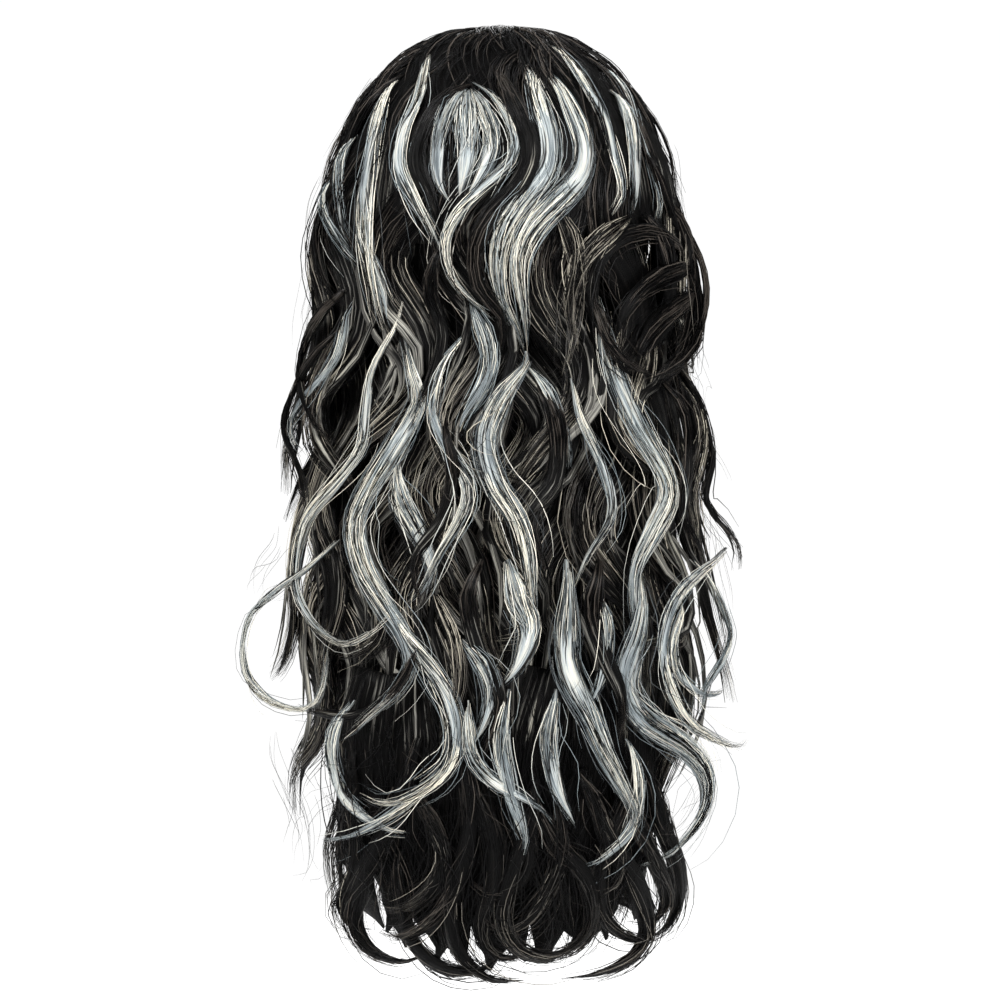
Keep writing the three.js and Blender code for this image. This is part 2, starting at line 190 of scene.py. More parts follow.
def walk(lock):  # the same walk down the hair as a lock of the solid model makes
    count = max(10, round(lock["length"] / 0.012))
    fine = 2
    steps = (count - 1) * fine
    stride = lock["length"] / steps
    angle, level = math.radians(lock["from"]), lock["level"]
    angles, depths, headings = [], [], []
    for i in range(steps + 1):
        t = i / steps
        gone = lock["length"] * t
        turn = 2 * math.pi * gone / (hair["waveLength"] * lock.get("wave", 1)) + lock["phase"]
        loose = float(smooth(gone / hair["waveLength"] + 0.2))
        curl = lock.get("curl", 0.25)
        heading = lock.get("lean", 0) + lock["sway"] * loose * math.sin(turn)
        heading += lock.get("hook", 0) * float(smooth((t - 1 + curl) / curl))
        heading += lock.get("sweep", 0) * (1 - float(smooth(gone / lock.get("sweepLong", 0.1))))
        heading = math.radians(heading)
        if i % fine == 0:
            angles.append(angle)
            depths.append(level)
            headings.append(heading)
        perRadian, perLevel, _ = scaleAt(angle, level, lock["outer"])
        angle += math.sin(heading) * stride / float(perRadian)
        level = min(max(level + math.cos(heading) * stride / float(perLevel), 0.05), lastLevel)
    return guideOf(np.array(angles), np.array(depths), np.array(headings), lock)


def seen(points):  # where points of the hair lie on the picture's plane, in metres
    x, y, z = view["middle"]
    nearer = view["distance"] / (points[..., 1] - y + view["distance"])
    return (points[..., 0] - x) * nearer + x, (points[..., 2] - z) * nearer + z


# Spots on the picture's plane to angles and levels on the back half of the hair. Near the outline, where the
# hair is seen edge on, only the height is solved, and what lies past the outline is lifted off the hair.
edgeOn = 1.2  # radians from the middle of the back


def onHair(spots, share):
    x, z = spots[:, 0], spots[:, 1]
    angle, level = x / 0.12, np.clip((0.03 - z) / 0.055, 0.6, lastLevel - 0.5)
    step = 0.01
    for _ in range(60):
        hereX, hereZ = seen(hairPoint(angle, level, share))
        rightX, rightZ = seen(hairPoint(angle + step, level, share))
        downX, downZ = seen(hairPoint(angle, level + step, share))
        a, b = (rightX - hereX) / step, (downX - hereX) / step
        c, d = (rightZ - hereZ) / step, (downZ - hereZ) / step
        area = a * d - b * c
        area = np.where(np.abs(area) < 2e-4, np.where(area < 0, -2e-4, 2e-4), area)
        missX, missZ = x - hereX, z - hereZ
        angle = angle + 0.5 * np.clip((missX * d - missZ * b) / area, -0.3, 0.3)
        level = level + 0.5 * np.clip((a * missZ - c * missX) / area, -0.6, 0.6)
        angle, level = np.clip(angle, -1.4, 1.4), np.clip(level, 0.15, lastLevel)
    for _ in range(12):
        _, hereZ = seen(hairPoint(angle, level, share))
        _, downZ = seen(hairPoint(angle, level + step, share))
        slope = np.minimum((downZ - hereZ) / step, -0.01)
        lower = np.where(np.abs(angle) > edgeOn, np.clip((z - hereZ) / slope, -0.5, 0.5), 0)
        level = np.clip(level + lower, 0.15, lastLevel)
    hereX, _ = seen(hairPoint(angle, level, share))
    lift = np.where(np.abs(angle) > edgeOn, np.clip((x - hereX) * np.sign(x), 0, 0.04), 0)
    return angle, level, lift


def curveThrough(points, count):  # an even walk along a smooth curve through a few points
    points = np.array(points, float)
    ends = np.vstack([2 * points[0] - points[1], points, 2 * points[-1] - points[-2]])
    u = np.linspace(0, len(points) - 1 - 1e-9, 400)
    i = u.astype(int)
    t = (u - i)[:, None]
    a, b, c, d = ends[i], ends[i + 1], ends[i + 2], ends[i + 3]
    curve = 2 * b + (c - a) * t + (2 * a - 5 * b + 4 * c - d) * t ** 2 + (3 * b - a - 3 * c + d) * t ** 3
    curve = 0.5 * curve
    run = np.concatenate([[0], np.cumsum(np.linalg.norm(np.diff(curve, axis=0), axis=1))])
    even = np.linspace(0, run[-1], count)
    return np.stack([np.interp(even, run, curve[:, k]) for k in (0, 1)], 1), run[-1]


def chart(lock):  # a lock drawn by its places on the picture's plane
    points, run = curveThrough(np.array(lock["at"]) * 0.001, max(10, round(len(lock["at"]) * 4)))
    angle, level, lift = onHair(points, lock["outer"])
    perRadian, perLevel, _ = scaleAt(angle, level, lock["outer"])
    heading = np.unwrap(np.arctan2(np.gradient(angle) * perRadian, np.gradient(level) * perLevel))
    t = np.linspace(0, 1, len(angle))
    dip = lock.get("dip", 0.005) * (1 - smooth(t / 0.1) + smooth((t - 0.9) / 0.1))
    return guideOf(angle, level, heading, {**lock, "length": run}, lift - dip)


def drawn(rows, look):  # the guides of a whole chart, whose places and widths are in millimetres
    return [chart({**look, "at": row["at"], "width": row["wide"] * 0.001}) for row in rows]


# Strands: thin closed three-sided tubes on a guide, gathered in bundles that close towards the tip
class Fibres:
    def __init__(self, seed):
        self.rng = np.random.default_rng(seed)
        self.blocks = []

    # lengths in metres, and the rest as shares of the strand; step is the way from ring to ring
    def grow(self, guide, count, radius=0.00034, bundles=8, loose=0.10, tone=(0.2, 0.8), frizz=0.0010,
             ends=0.85, begins=0.03, between=(0.0, 1.0), lifted=0.0, step=0.016):
        rng = self.rng
        m = max(7, round(guide["length"] * (between[1] - between[0]) / step) + 1)
        t = np.linspace(0, 1, m)
        centre = np.stack([rng.uniform(-0.85, 0.85, bundles), rng.uniform(-0.6, 0.9, bundles)], 1)
        which = rng.integers(0, bundles, count)
        own = np.stack([rng.uniform(-1, 1, count), rng.uniform(-1, 1, count) ** 3 * 0.4 + 0.55], 1)
        own[:, 1] *= np.sqrt(np.clip(1 - own[:, 0] ** 2 * 0.8, 0.1, 1))
        stray = rng.random(count) < loose
        close = np.where(stray, 0.1, rng.uniform(0.4, 0.85, count))[:, None] * smooth((t - 0.1) / 0.8)[None]
        across = mix(own[:, :1], centre[which, :1], close)
        deep = mix(own[:, 1:], centre[which, 1:], close)
        end = rng.uniform(ends, 1.0, count)
        begin = rng.uniform(0.0, begins, count)
        u = between[0] + (begin[:, None] + (end - begin)[:, None] * t[None]) * (between[1] - between[0])
        at = {k: np.interp(u, guide["t"], guide[k]) for k in
              ("angle", "level", "heading", "perRadian", "perLevel", "thick", "inner", "outer", "half")}
        s = u * guide["length"]
        settled = smooth(u / 0.3)
        wobble = rng.uniform(0.3, 1.0, count) * frizz * np.where(stray, 3.5, 1)
        period = rng.uniform(0.06, 0.13, count)
        turned = 2 * np.pi * s / period[:, None] + rng.uniform(0, 6.3, count)[:, None]
        side = wobble[:, None] * np.sin(turned)
        drift = np.where(stray, rng.normal(0, 0.006, count), rng.normal(0, 0.0008, count))[:, None]
        off = across * at["half"] + side * settled + drift * smooth(u / 0.6)
        swing = 2 * np.pi * s / (hair["waveLength"] * guide["wave"]) + guide["phase"]
        share = (at["outer"] + at["inner"]) / 2 + (at["outer"] - at["inner"]) / 2 * deep
        rough = (wobble * rng.normal(0, 1, count))[:, None]
        rise = 0.0035 * np.cos(swing) * settled + rough * settled + lifted
        share = share + rise / at["thick"]
        angle = at["angle"] + np.cos(at["heading"]) * off / np.maximum(at["perRadian"], 0.03)
        level = np.clip(at["level"] - np.sin(at["heading"]) * off / at["perLevel"], 0.03, lastLevel + 0.05)
        points = hairPoint(angle, level, np.maximum(share, 0.005))
        size = radius * rng.uniform(0.55, 1.4, count)
        radii = size[:, None] * mix(0.5, 1, smooth(t / 0.1)) * mix(1, 0.3, smooth((t - 0.75) / 0.25))
        # painted highlight: paler where the wave turns to the light; and paler in slow patches along each
        # bundle, a tone that differs at random
        patch = rng.uniform(0.08, 0.2, bundles)[which][:, None]
        slow = 0.5 * np.sin(2 * np.pi * s / patch + which[:, None] * 2.4)
        mean = rng.uniform(*tone, bundles)[which] + rng.normal(0, 0.22 * (tone[1] - tone[0] + 0.2), count)
        tones = mean[:, None] + 0.3 * (tone[1] - tone[0]) * (slow + 0.6 * np.cos(swing))
        self.blocks.append((points, radii, np.clip(tones, 0, 1)))

    def mesh(self, name):
        total = sum(len(block[0]) for block in self.blocks)
        columns = 8
        rows = math.ceil(total / columns)
        verts, corners, sizes, uvs, tones = [], [], [], [], []
        strandsSoFar, vertsSoFar = 0, 0
        for points, radii, tone in self.blocks:
            count, m = radii.shape
            tangent = np.gradient(points, axis=1)
            tangent /= np.maximum(np.linalg.norm(tangent, axis=-1, keepdims=True), 1e-9)
            outward = points * np.array([1.0, 1.0, 0.0]) + np.array([0, 0.0, 0.02])
            side = np.cross(tangent, outward)
            side /= np.maximum(np.linalg.norm(side, axis=-1, keepdims=True), 1e-9)
            up = np.cross(side, tangent)
            ring = []
            for k in range(3):
                turn = 2 * math.pi * k / 3 + math.pi / 2
                ring.append(points + side * (radii * math.cos(turn))[..., None]
                            + up * (radii * 0.8 * math.sin(turn))[..., None])
            verts.append(np.stack(ring, 2).reshape(-1, 3))
            base = (np.arange(count)[:, None, None] * m + np.arange(m - 1)[None, :, None]) * 3
            k = np.arange(3)[None, None]
            n = (k + 1) % 3
            quads = np.stack([base + k, base + n, base + 3 + n, base + 3 + k], -1).reshape(-1, 4)
            first = np.arange(count)[:, None] * m * 3
            last = first + (m - 1) * 3
            caps = np.concatenate([first + np.array([[2, 1, 0]]), last + np.array([[0, 1, 2]])])
            corner = np.concatenate([quads.ravel(), caps.ravel()])
            strand = corner // (3 * m) + strandsSoFar
            along01 = (corner % (3 * m)) // 3 / (m - 1)
            sides = np.repeat(np.tile(np.arange(3), len(quads) // 3), 4) + np.tile([0, 1, 1, 0], len(quads))
            around = np.concatenate([sides / 3, np.tile([0, 0.4, 0.8], len(caps))])
            uvs.append(np.stack([(strand % columns + 0.02 + 0.96 * along01) / columns,
                                 (strand // columns + 0.08 + 0.84 * around) / rows], 1))
            corners.append(corner + vertsSoFar)
            sizes.append(np.concatenate([np.full(len(quads), 4), np.full(len(caps), 3)]))
            tones.append(np.repeat(tone.ravel(), 3))
            strandsSoFar += count
            vertsSoFar += count * m * 3
        verts, corners, sizes = np.concatenate(verts), np.concatenate(corners), np.concatenate(sizes)
        data = bpy.data.meshes.new(name)
        data.vertices.add(len(verts))
        data.vertices.foreach_set("co", verts.astype(np.float32).ravel())
        data.loops.add(len(corners))
        data.loops.foreach_set("vertex_index", corners.astype(np.int32))
        data.polygons.add(len(sizes))
        starts = np.concatenate([[0], np.cumsum(sizes)[:-1]])
        data.polygons.foreach_set("loop_start", starts.astype(np.int32))
        data.polygons.foreach_set("loop_total", sizes.astype(np.int32))
        data.polygons.foreach_set("use_smooth", sizes == 4)
        data.update(calc_edges=True)
        # a strip of the map for each strand: along it one way, round it the other
        layer = data.uv_layers.new(name="OFBake")
        layer.data.foreach_set("uv", np.concatenate(uvs).astype(np.float32).ravel())
        tone = data.attributes.new("tone", "FLOAT", "POINT")
        tone.data.foreach_set("value", np.concatenate(tones).astype(np.float32))
        data.validate()
        piece = bpy.data.objects.new(name, data)
        bpy.context.scene.collection.objects.link(piece)
        triangles = int((sizes - 2).sum())
        totals.append(triangles)
        print(name, total, "strands", triangles, "triangles")
        return piece


totals = []


# Materials
def newMaterial(name):
    mat = bpy.data.materials.new(name)
    mat.use_nodes = True
    nodes = mat.node_tree.nodes
    nodes.clear()
    out = nodes.new("ShaderNodeOutputMaterial")
    shader = nodes.new("ShaderNodeBsdfPrincipled")
    mat.node_tree.links.new(shader.outputs[0], out.inputs[0])
    return mat, nodes, mat.node_tree.links, shader


def ramp(nodes, stops):
    node = nodes.new("ShaderNodeValToRGB")
    band = node.color_ramp
    while len(band.elements) < len(stops):
        band.elements.new(0.5)
    for element, (place, colour) in zip(band.elements, stops):
        element.position = place
        element.color = (*colour, 1)
    return node


# Fibre colours by tone. The brown-grey top of the black ramp is a painted sheen; the pale ramp runs from
# blue-grey, partly painted shade, to cream, partly painted highlight; the warm ramp serves mixed beige hair
# and a painted sheen on the curls.
fibreLooks = {
    "black": {
        "stops": [(0.0, (0.0006, 0.0006, 0.0007)), (0.55, (0.0016, 0.0015, 0.0016)),
                  (0.8, (0.0065, 0.0057, 0.0052)), (1.0, (0.055, 0.047, 0.040))],
        "roughness": 0.30,
        "specular": 0.10,
    },
    "warm": {
        "stops": [(0.0, (0.006, 0.0055, 0.005)), (0.4, (0.058, 0.052, 0.044)), (0.7, (0.21, 0.19, 0.155)),
                  (1.0, (0.50, 0.46, 0.37))],
        "roughness": 0.34,
        "specular": 0.3,
    },
    "pale": {
        "stops": [(0.0, (0.035, 0.038, 0.040)), (0.25, (0.12, 0.145, 0.155)), (0.5, (0.27, 0.31, 0.32)),
                  (0.72, (0.57, 0.56, 0.50)), (1.0, (0.86, 0.81, 0.68))],
        "roughness": 0.34,
        "specular": 0.4,
    },
}
# the change of tone from strand to strand and along each
fibreStreak = {"stretch": (60, 900, 1), "detail": 3, "reach": 0.5}


def fibreMaterial(name, look):
    mat, nodes, links, shader = newMaterial(name)
    tone = nodes.new("ShaderNodeAttribute")
    tone.attribute_name = "tone"
    uv = nodes.new("ShaderNodeUVMap")
    uv.uv_map = "OFBake"
    stretch = nodes.new("ShaderNodeMapping")
    stretch.inputs["Scale"].default_value = fibreStreak["stretch"]
    links.new(uv.outputs[0], stretch.inputs[0])
    streak = nodes.new("ShaderNodeTexNoise")
    streak.inputs["Scale"].default_value = 1.0
    streak.inputs["Detail"].default_value = fibreStreak["detail"]
    links.new(stretch.outputs[0], streak.inputs["Vector"])
    push = nodes.new("ShaderNodeMath")
    push.operation = "MULTIPLY_ADD"
    push.inputs[1].default_value = fibreStreak["reach"]
    push.inputs[2].default_value = -fibreStreak["reach"] / 2
    links.new(streak.outputs["Fac"], push.inputs[0])
    total = nodes.new("ShaderNodeMath")
    total.operation = "ADD"
    total.use_clamp = True
    links.new(tone.outputs["Fac"], total.inputs[0])
    links.new(push.outputs[0], total.inputs[1])
    colours = ramp(nodes, look["stops"])
    links.new(total.outputs[0], colours.inputs[0])
    links.new(colours.outputs[0], shader.inputs["Base Color"])
    rough = nodes.new("ShaderNodeMapRange")
    rough.inputs["To Min"].default_value = look["roughness"] - 0.05
    rough.inputs["To Max"].default_value = look["roughness"] + 0.12
    links.new(streak.outputs["Fac"], rough.inputs["Value"])
    links.new(rough.outputs[0], shader.inputs["Roughness"])
    shader.inputs["Specular IOR Level"].default_value = look["specular"]
    return mat


blackFibre = fibreMaterial("black fibre", fibreLooks["black"])
warmFibre = fibreMaterial("warm grey fibre", fibreLooks["warm"])
paleFibre = fibreMaterial("pale fibre", fibreLooks["pale"])


def streakMaterial(name, look):  # the gathered hair under the strands
    mat, nodes, links, shader = newMaterial(name)
    uv = nodes.new("ShaderNodeUVMap")
    uv.uv_map = "flow"
    noises = []
    for scale, detail in ((look["fine"], 4), (look["broad"], 2), (look["fine"] * 0.45, 3)):
        stretch = nodes.new("ShaderNodeMapping")
        stretch.inputs["Scale"].default_value = (scale, look["along"], 1)
        links.new(uv.outputs[0], stretch.inputs[0])
        streak = nodes.new("ShaderNodeTexNoise")
        streak.inputs["Scale"].default_value = 1.0
        streak.inputs["Detail"].default_value = detail
        links.new(stretch.outputs[0], streak.inputs["Vector"])
        noises.append(streak.outputs["Fac"])
    both = nodes.new("ShaderNodeMath")
    both.operation = "ADD"
    links.new(noises[0], both.inputs[0])
    links.new(noises[1], both.inputs[1])
    half = nodes.new("ShaderNodeMath")
    half.operation = "MULTIPLY"
    half.inputs[1].default_value = 0.5
    links.new(both.outputs[0], half.inputs[0])
    colours = ramp(nodes, look["stops"])
    links.new(half.outputs[0], colours.inputs[0])
    links.new(colours.outputs[0], shader.inputs["Base Color"])
    if "paler" in look:  # the more pale hair is mixed in, the more streaks take the paler colours
        share = nodes.new("ShaderNodeAttribute")
        share.attribute_name = "pale"
        which = nodes.new("ShaderNodeMath")
        which.operation = "ADD"
        links.new(noises[2], which.inputs[0])
        links.new(share.outputs["Fac"], which.inputs[1])
        edge = nodes.new("ShaderNodeMapRange")
        edge.inputs["From Min"].default_value = 0.93
        edge.inputs["From Max"].default_value = 1.05
        links.new(which.outputs[0], edge.inputs["Value"])
        paler = ramp(nodes, look["paler"])
        links.new(half.outputs[0], paler.inputs[0])
        blend = nodes.new("ShaderNodeMix")
        blend.data_type = "RGBA"
        links.new(edge.outputs[0], blend.inputs[0])
        links.new(colours.outputs[0], blend.inputs[6])
        links.new(paler.outputs[0], blend.inputs[7])
        links.new(blend.outputs[2], shader.inputs["Base Color"])
    bump = nodes.new("ShaderNodeBump")
    bump.inputs["Strength"].default_value = 1.0
    bump.inputs["Distance"].default_value = look["bump"]
    links.new(noises[0], bump.inputs["Height"])
    links.new(bump.outputs[0], shader.inputs["Normal"])
    shader.inputs["Roughness"].default_value = look["roughness"]
    shader.inputs["Specular IOR Level"].default_value = look["specular"]
    return mat


gatheredLooks = {
    "black": {
        "fine": 120, "broad": 24, "along": 2.0, "bump": 0.002, "roughness": 0.42, "specular": 0.07,
        "stops": [(0.36, (0.0005, 0.0005, 0.0006)), (0.54, (0.0016, 0.0015, 0.0015)),
                  (0.7, (0.010, 0.009, 0.008))],
        "paler": [(0.34, (0.008, 0.008, 0.008)), (0.46, (0.065, 0.062, 0.056)),
                  (0.55, (0.20, 0.195, 0.175)), (0.66, (0.44, 0.42, 0.35))],
    },
    "pale": {
        "fine": 90, "broad": 12, "along": 2.2, "bump": 0.0016, "roughness": 0.44, "specular": 0.12,
        "stops": [(0.36, (0.002, 0.002, 0.002)), (0.54, (0.014, 0.013, 0.012)),
                  (0.68, (0.08, 0.074, 0.064))],
        "paler": [(0.34, (0.05, 0.06, 0.065)), (0.43, (0.13, 0.15, 0.16)),
                  (0.51, (0.29, 0.32, 0.325)), (0.66, (0.55, 0.525, 0.455))],
    },
}
gathered = streakMaterial("gathered black hair", gatheredLooks["black"])
gatheredPale = streakMaterial("gathered pale hair", gatheredLooks["pale"])


# How much pale hair is mixed into the black: none on top or in the lowest curls, little at the front
mixture = {"most": 0.37, "from": -0.02, "to": -0.49, "front": 0.35}


def paleShare(spots):
    x, y, z = spots[:, 0], spots[:, 1], spots[:, 2]
    down = smooth((mixture["from"] - z) / 0.07) * (1 - smooth((mixture["to"] - z) / 0.06 + 1))
    rolled = smooth((x - 0.045) / 0.03) * smooth((z + 0.23) / 0.03) * smooth((-0.09 - z) / 0.03)
    return mixture["most"] * down * (1 - 0.6 * rolled) * mix(1, mixture["front"], smooth((y + 0.04) / 0.05))


def markPale(data):  # where a piece has no share of its own, the place decides
    spots = np.empty(len(data.vertices) * 3)
    data.vertices.foreach_get("co", spots)
    own = np.full(len(data.vertices), -1.0, np.float32)
    pale = data.attributes.get("pale")
    if pale:
        pale.data.foreach_get("value", own)
    else:
        pale = data.attributes.new("pale", "FLOAT", "POINT")
    share = np.where(own < 0, paleShare(spots.reshape(-1, 3)), own)
    pale.data.foreach_set("value", share.astype(np.float32))


# Lock bodies: soft ribbed bundles under the strands, which fill the gaps between them
def body(name, guides, material=gathered, sides=18, narrow=0.86, thick=0.8, sink=0.0, seed=5):
    rng = np.random.default_rng(seed)
    whole = bmesh.new()
    whole.loops.layers.uv.new("flow")
    whole.verts.layers.float.new("pale")
    for guide in guides:
        bm = bmesh.new()
        pale = bm.verts.layers.float.new("pale")
        m = len(guide["t"])
        made = bmesh.ops.create_grid(bm, x_segments=sides, y_segments=m - 1, size=0.5)
        layer = bm.loops.layers.uv.new("flow")
        shift = rng.uniform(0, 5)
        across = min(1.0, float(np.mean(guide["half"])) / 0.012)  # so that narrow locks have no finer streaks
        down = guide["length"] / 0.1
        for face in bm.faces:
            for loop in face.loops:
                spot = loop.vert.co
                loop[layer].uv = ((spot.x + 0.5) * across + shift, (spot.y + 0.5) * down)
        grid = np.array([v.co[:2] for v in made["verts"]]) + 0.5
        turn = 2 * np.pi * grid[:, 0]
        row = np.rint(grid[:, 1] * (m - 1)).astype(int)
        at = {k: guide[k][row] for k in
              ("angle", "level", "heading", "perRadian", "perLevel", "inner", "outer", "half", "t")}
        first, second = rng.uniform(0, 6.3, 2)
        t = at["t"]
        ribs = 1 + 0.10 * np.cos(5 * turn + first + 4 * t) + 0.07 * np.cos(9 * turn + second - 7 * t)
        ribs = ribs * mix(1, 0.12, smooth((t - 0.86) / 0.14))  # a pointed tip
        thin = mix(0.35, thick, smooth(t / 0.15)) * mix(1, 0.25, smooth((t - 0.5) / 0.5)) * ribs
        off = narrow * at["half"] * np.cos(turn) * mix(1, 0.45, smooth((t - 0.55) / 0.45)) * ribs
        share = (at["outer"] + at["inner"]) / 2
        share = share + (at["outer"] - at["inner"]) / 2 * (np.sin(turn) * thin - sink)
        places = hairPoint(at["angle"] + np.cos(at["heading"]) * off / at["perRadian"],
                           at["level"] - np.sin(at["heading"]) * off / at["perLevel"],
                           np.maximum(share, 0.01))
        # painted shade: less pale hair towards the lock's side edges and its root, which also blends the root
        # into the black
        unshadedShare = 1 - guide.get("edgeShade", 0) * (np.abs(np.cos(turn)) ** 3 + 0.8 * (1 - smooth(t / 0.2)))
        shares = guide.get("pale", -1) * np.maximum(unshadedShare, 0)
        for v, spot, share in zip(made["verts"], places, shares):
            v.co = spot
            v[pale] = share
        bmesh.ops.remove_doubles(bm, verts=bm.verts, dist=1e-6)
        bmesh.ops.holes_fill(bm, edges=[e for e in bm.edges if e.is_boundary], sides=0)
        bmesh.ops.recalc_face_normals(bm, faces=bm.faces)
        part = bpy.data.meshes.new("part")
        bm.to_mesh(part)
        bm.free()
        whole.from_mesh(part)
        bpy.data.meshes.remove(part)
    for face in whole.faces:
        face.smooth = True
    data = bpy.data.meshes.new(name)
    whole.to_mesh(data)
    whole.free()
    markPale(data)
    piece = bpy.data.objects.new(name, data)
    bpy.context.scene.collection.objects.link(piece)
    piece.data.materials.append(material)
    totals.append(len(data.polygons) * 2)
    print(name, len(guides), "locks", totals[-1], "triangles")
    return piece


def place(piece, slot, nodes=(), material=None):
    if material:
        piece.data.materials.append(material)
    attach(piece, "root")
    if nodes:
        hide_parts(*nodes)
    return piece


def spread(n):
    return (n * 0.618034) % 1


# The three tiers under the crown, each lock as in the solid model; strands where the tier shows
tiers = {
    "nape": {"locks": 7, "reach": 60, "level": 5.3, "rise": 0.5, "inner": 0.0, "outer": 0.19, "wide": 1.2,
             "long": 0.82, "sway": 36, "tip": 0.4, "strands": 62, "from": 0.4},
    "lower": {"locks": 7, "reach": 64, "level": 4.5, "rise": 0.6, "inner": 0.23, "outer": 0.41, "wide": 1.1,
              "long": 0.79, "sway": 40, "tip": 0.4, "strands": 58, "from": 0.4},
    "mid": {"locks": 8, "reach": 78, "level": 3.6, "rise": 0.6, "inner": 0.45, "outer": 0.62, "wide": 1.0,
            "long": 0.7, "sway": 42, "tip": 0.3, "strands": 66, "from": 0.3},
}


def tierLocks(tier):
    locks = []
    for i in range(tier["locks"]):
        locks.append({
            "from": mix(-tier["reach"], tier["reach"], i / (tier["locks"] - 1)),
            "level": tier["level"], "nested": True, "rise": tier["rise"],
            "inner": tier["inner"], "outer": tier["outer"],
            "length": hair["length"] * tier["long"] * mix(0.88, 1, spread(i * 3 + 1)),
            "width": hair["lockWidth"] * tier["wide"], "sway": tier["sway"], "tip": tier["tip"],
            "phase": mix(0, 1.6, spread(i)) + (i % 2) * 0.5,
            "hook": (1 if i % 2 else -1) * mix(30, 75, spread(i + 5)),
        })
    return locks


def makeTier(name, tier, seed):
    guides = [walk(lock) for lock in tierLocks(tier)]
    under = body(name + "_bodies", guides, seed=seed)
    place(under, "black_fibre", [name + "_hair"])
    fibres = Fibres(seed)
    for guide in guides:
        fibres.grow(guide, tier["strands"], bundles=9, tone=(0.0, 0.9), frizz=0.0012,
                    between=(tier["from"], 1.0), begins=0.3)
    place(fibres.mesh(name + "_strands"), "black_fibre", [name + "_hair"], blackFibre)
    return guides


backGuides = []
for number, (name, tier) in enumerate(tiers.items()):
    backGuides.append(makeTier(name, tier, 11 + number))


# The crown: a skin of combed hair over the cap, its locks, and the front hair swept from the parting
# from, level, long, phase, lean, wide, hook
crownRows = [
    (-128, 1.9, 0.56, 0.2, -14, 0.90, -60),
    (-104, 2.0, 0.58, 1.4, -4, 0.95, 50),
    (-80, 2.2, 0.52, 0.6, 0, 1.00, -70),
    (-55, 2.2, 0.56, 1.9, 0, 1.00, 60),
    (-30, 2.4, 0.50, 0.3, 0, 0.90, -50),
    (-6, 2.4, 0.55, 1.2, 0, 0.90, 60),
    (19, 2.4, 0.52, 0.1, 0, 0.95, -60),
    (44, 2.2, 0.57, 1.6, 0, 1.00, 70),
    (72, 2.2, 0.42, 0.4, 2, 1.35, -90),  # the rolled curl
    (104, 2.0, 0.58, 0.9, 4, 0.95, -50),
    (128, 1.9, 0.56, 2.1, 14, 0.90, 60),
]
crownLook = {"outer": 0.93, "sway": 40, "strands": 66}
skin = {"inner": 0.72, "outer": 0.84, "columns": 96, "rows": 30, "edges": [5.0, 4.9, 4.3, 3.7, 2.9]}


def skinEdge(angle):
    return along(np.array(skin["edges"]), np.abs(angle) * (len(skin["edges"]) - 1) / math.pi)


def makeSkin():
    bm = bmesh.new()
    made = bmesh.ops.create_grid(bm, x_segments=skin["columns"], y_segments=skin["rows"], size=0.5)
    layer = bm.loops.layers.uv.new("flow")
    for face in bm.faces:
        for loop in face.loops:
            loop[layer].uv = ((loop.vert.co.x + 0.5) * 12, loop.vert.co.y + 0.5)
    grid = np.array([v.co[:2] for v in made["verts"]]) + 0.5
    angle = mix(-math.pi, math.pi, grid[:, 0])
    level = skinEdge(angle) * grid[:, 1] * 1.02
    ridge = 0.02 * np.cos(24 * angle + 2 * level) * smooth(level / 1.5)
    parting = 0.25 * smooth((np.abs(angle) - 3) / 0.14) * smooth((level - 0.5) / 0.5)
    crest = 0.16 * (1 - smooth((level - 0.4) / 1.6))
    places = hairPoint(angle, level, skin["outer"] - 0.03 + ridge + crest - parting)
    for v, spot in zip(made["verts"], places):
        v.co = spot
    bmesh.ops.remove_doubles(bm, verts=bm.verts, dist=1e-5)
    bmesh.ops.recalc_face_normals(bm, faces=bm.faces)
    if sum(f.normal.z * f.calc_area() for f in bm.faces) < 0:
        bmesh.ops.reverse_faces(bm, faces=bm.faces)
    bmesh.ops.solidify(bm, geom=bm.faces[:], thickness=0.003)
    for face in bm.faces:
        face.smooth = True
    data = bpy.data.meshes.new("crown_skin")
    bm.to_mesh(data)
    bm.free()
    markPale(data)
    piece = bpy.data.objects.new("crown_skin", data)
    bpy.context.scene.collection.objects.link(piece)
    piece.data.materials.append(gathered)
    return piece


place(makeSkin(), "black_fibre", ["crown_hair"])


def crownGuides():
    guides = []
    for start, level, long, phase, lean, wide, hook in crownRows:
        guides.append(walk({
            "from": start, "level": level, "nested": True, "rise": 1.0,
            "inner": skin["inner"], "start": skin["outer"], "outer": crownLook["outer"],
            "length": hair["length"] * long, "width": hair["lockWidth"] * wide,
            "sway": crownLook["sway"], "phase": phase, "lean": lean, "hook": hook,
        }))
    return guides


crown = crownGuides()
place(body("crown_bodies", crown, seed=3), "black_fibre", ["crown_hair"])
crownFibres = Fibres(31)
for guide in crown:
    crownFibres.grow(guide, crownLook["strands"], bundles=9, tone=(0.0, 0.9))

# combed strands from the top, on every side but the forehead
combed = {"guides": 32, "strands": 26, "reach": 155, "length": 0.21}
for i in range(combed["guides"]):
    start = mix(-combed["reach"], combed["reach"], i / (combed["guides"] - 1))
    crownFibres.grow(walk({
        "from": start, "level": 0.05, "inner": 0.82, "outer": 0.95,
        "length": combed["length"] * mix(0.85, 1.1, spread(i)),
        "width": 0.034, "sway": 24, "phase": 6.3 * spread(i + 2), "tip": 0.9, "root": 1.0,
    }), combed["strands"], bundles=5, tone=(0.0, 0.85), frizz=0.0007, loose=0.03, begins=0.05, ends=0.35)
place(crownFibres.mesh("crown_strands"), "black_fibre", ["crown_hair"], blackFibre)

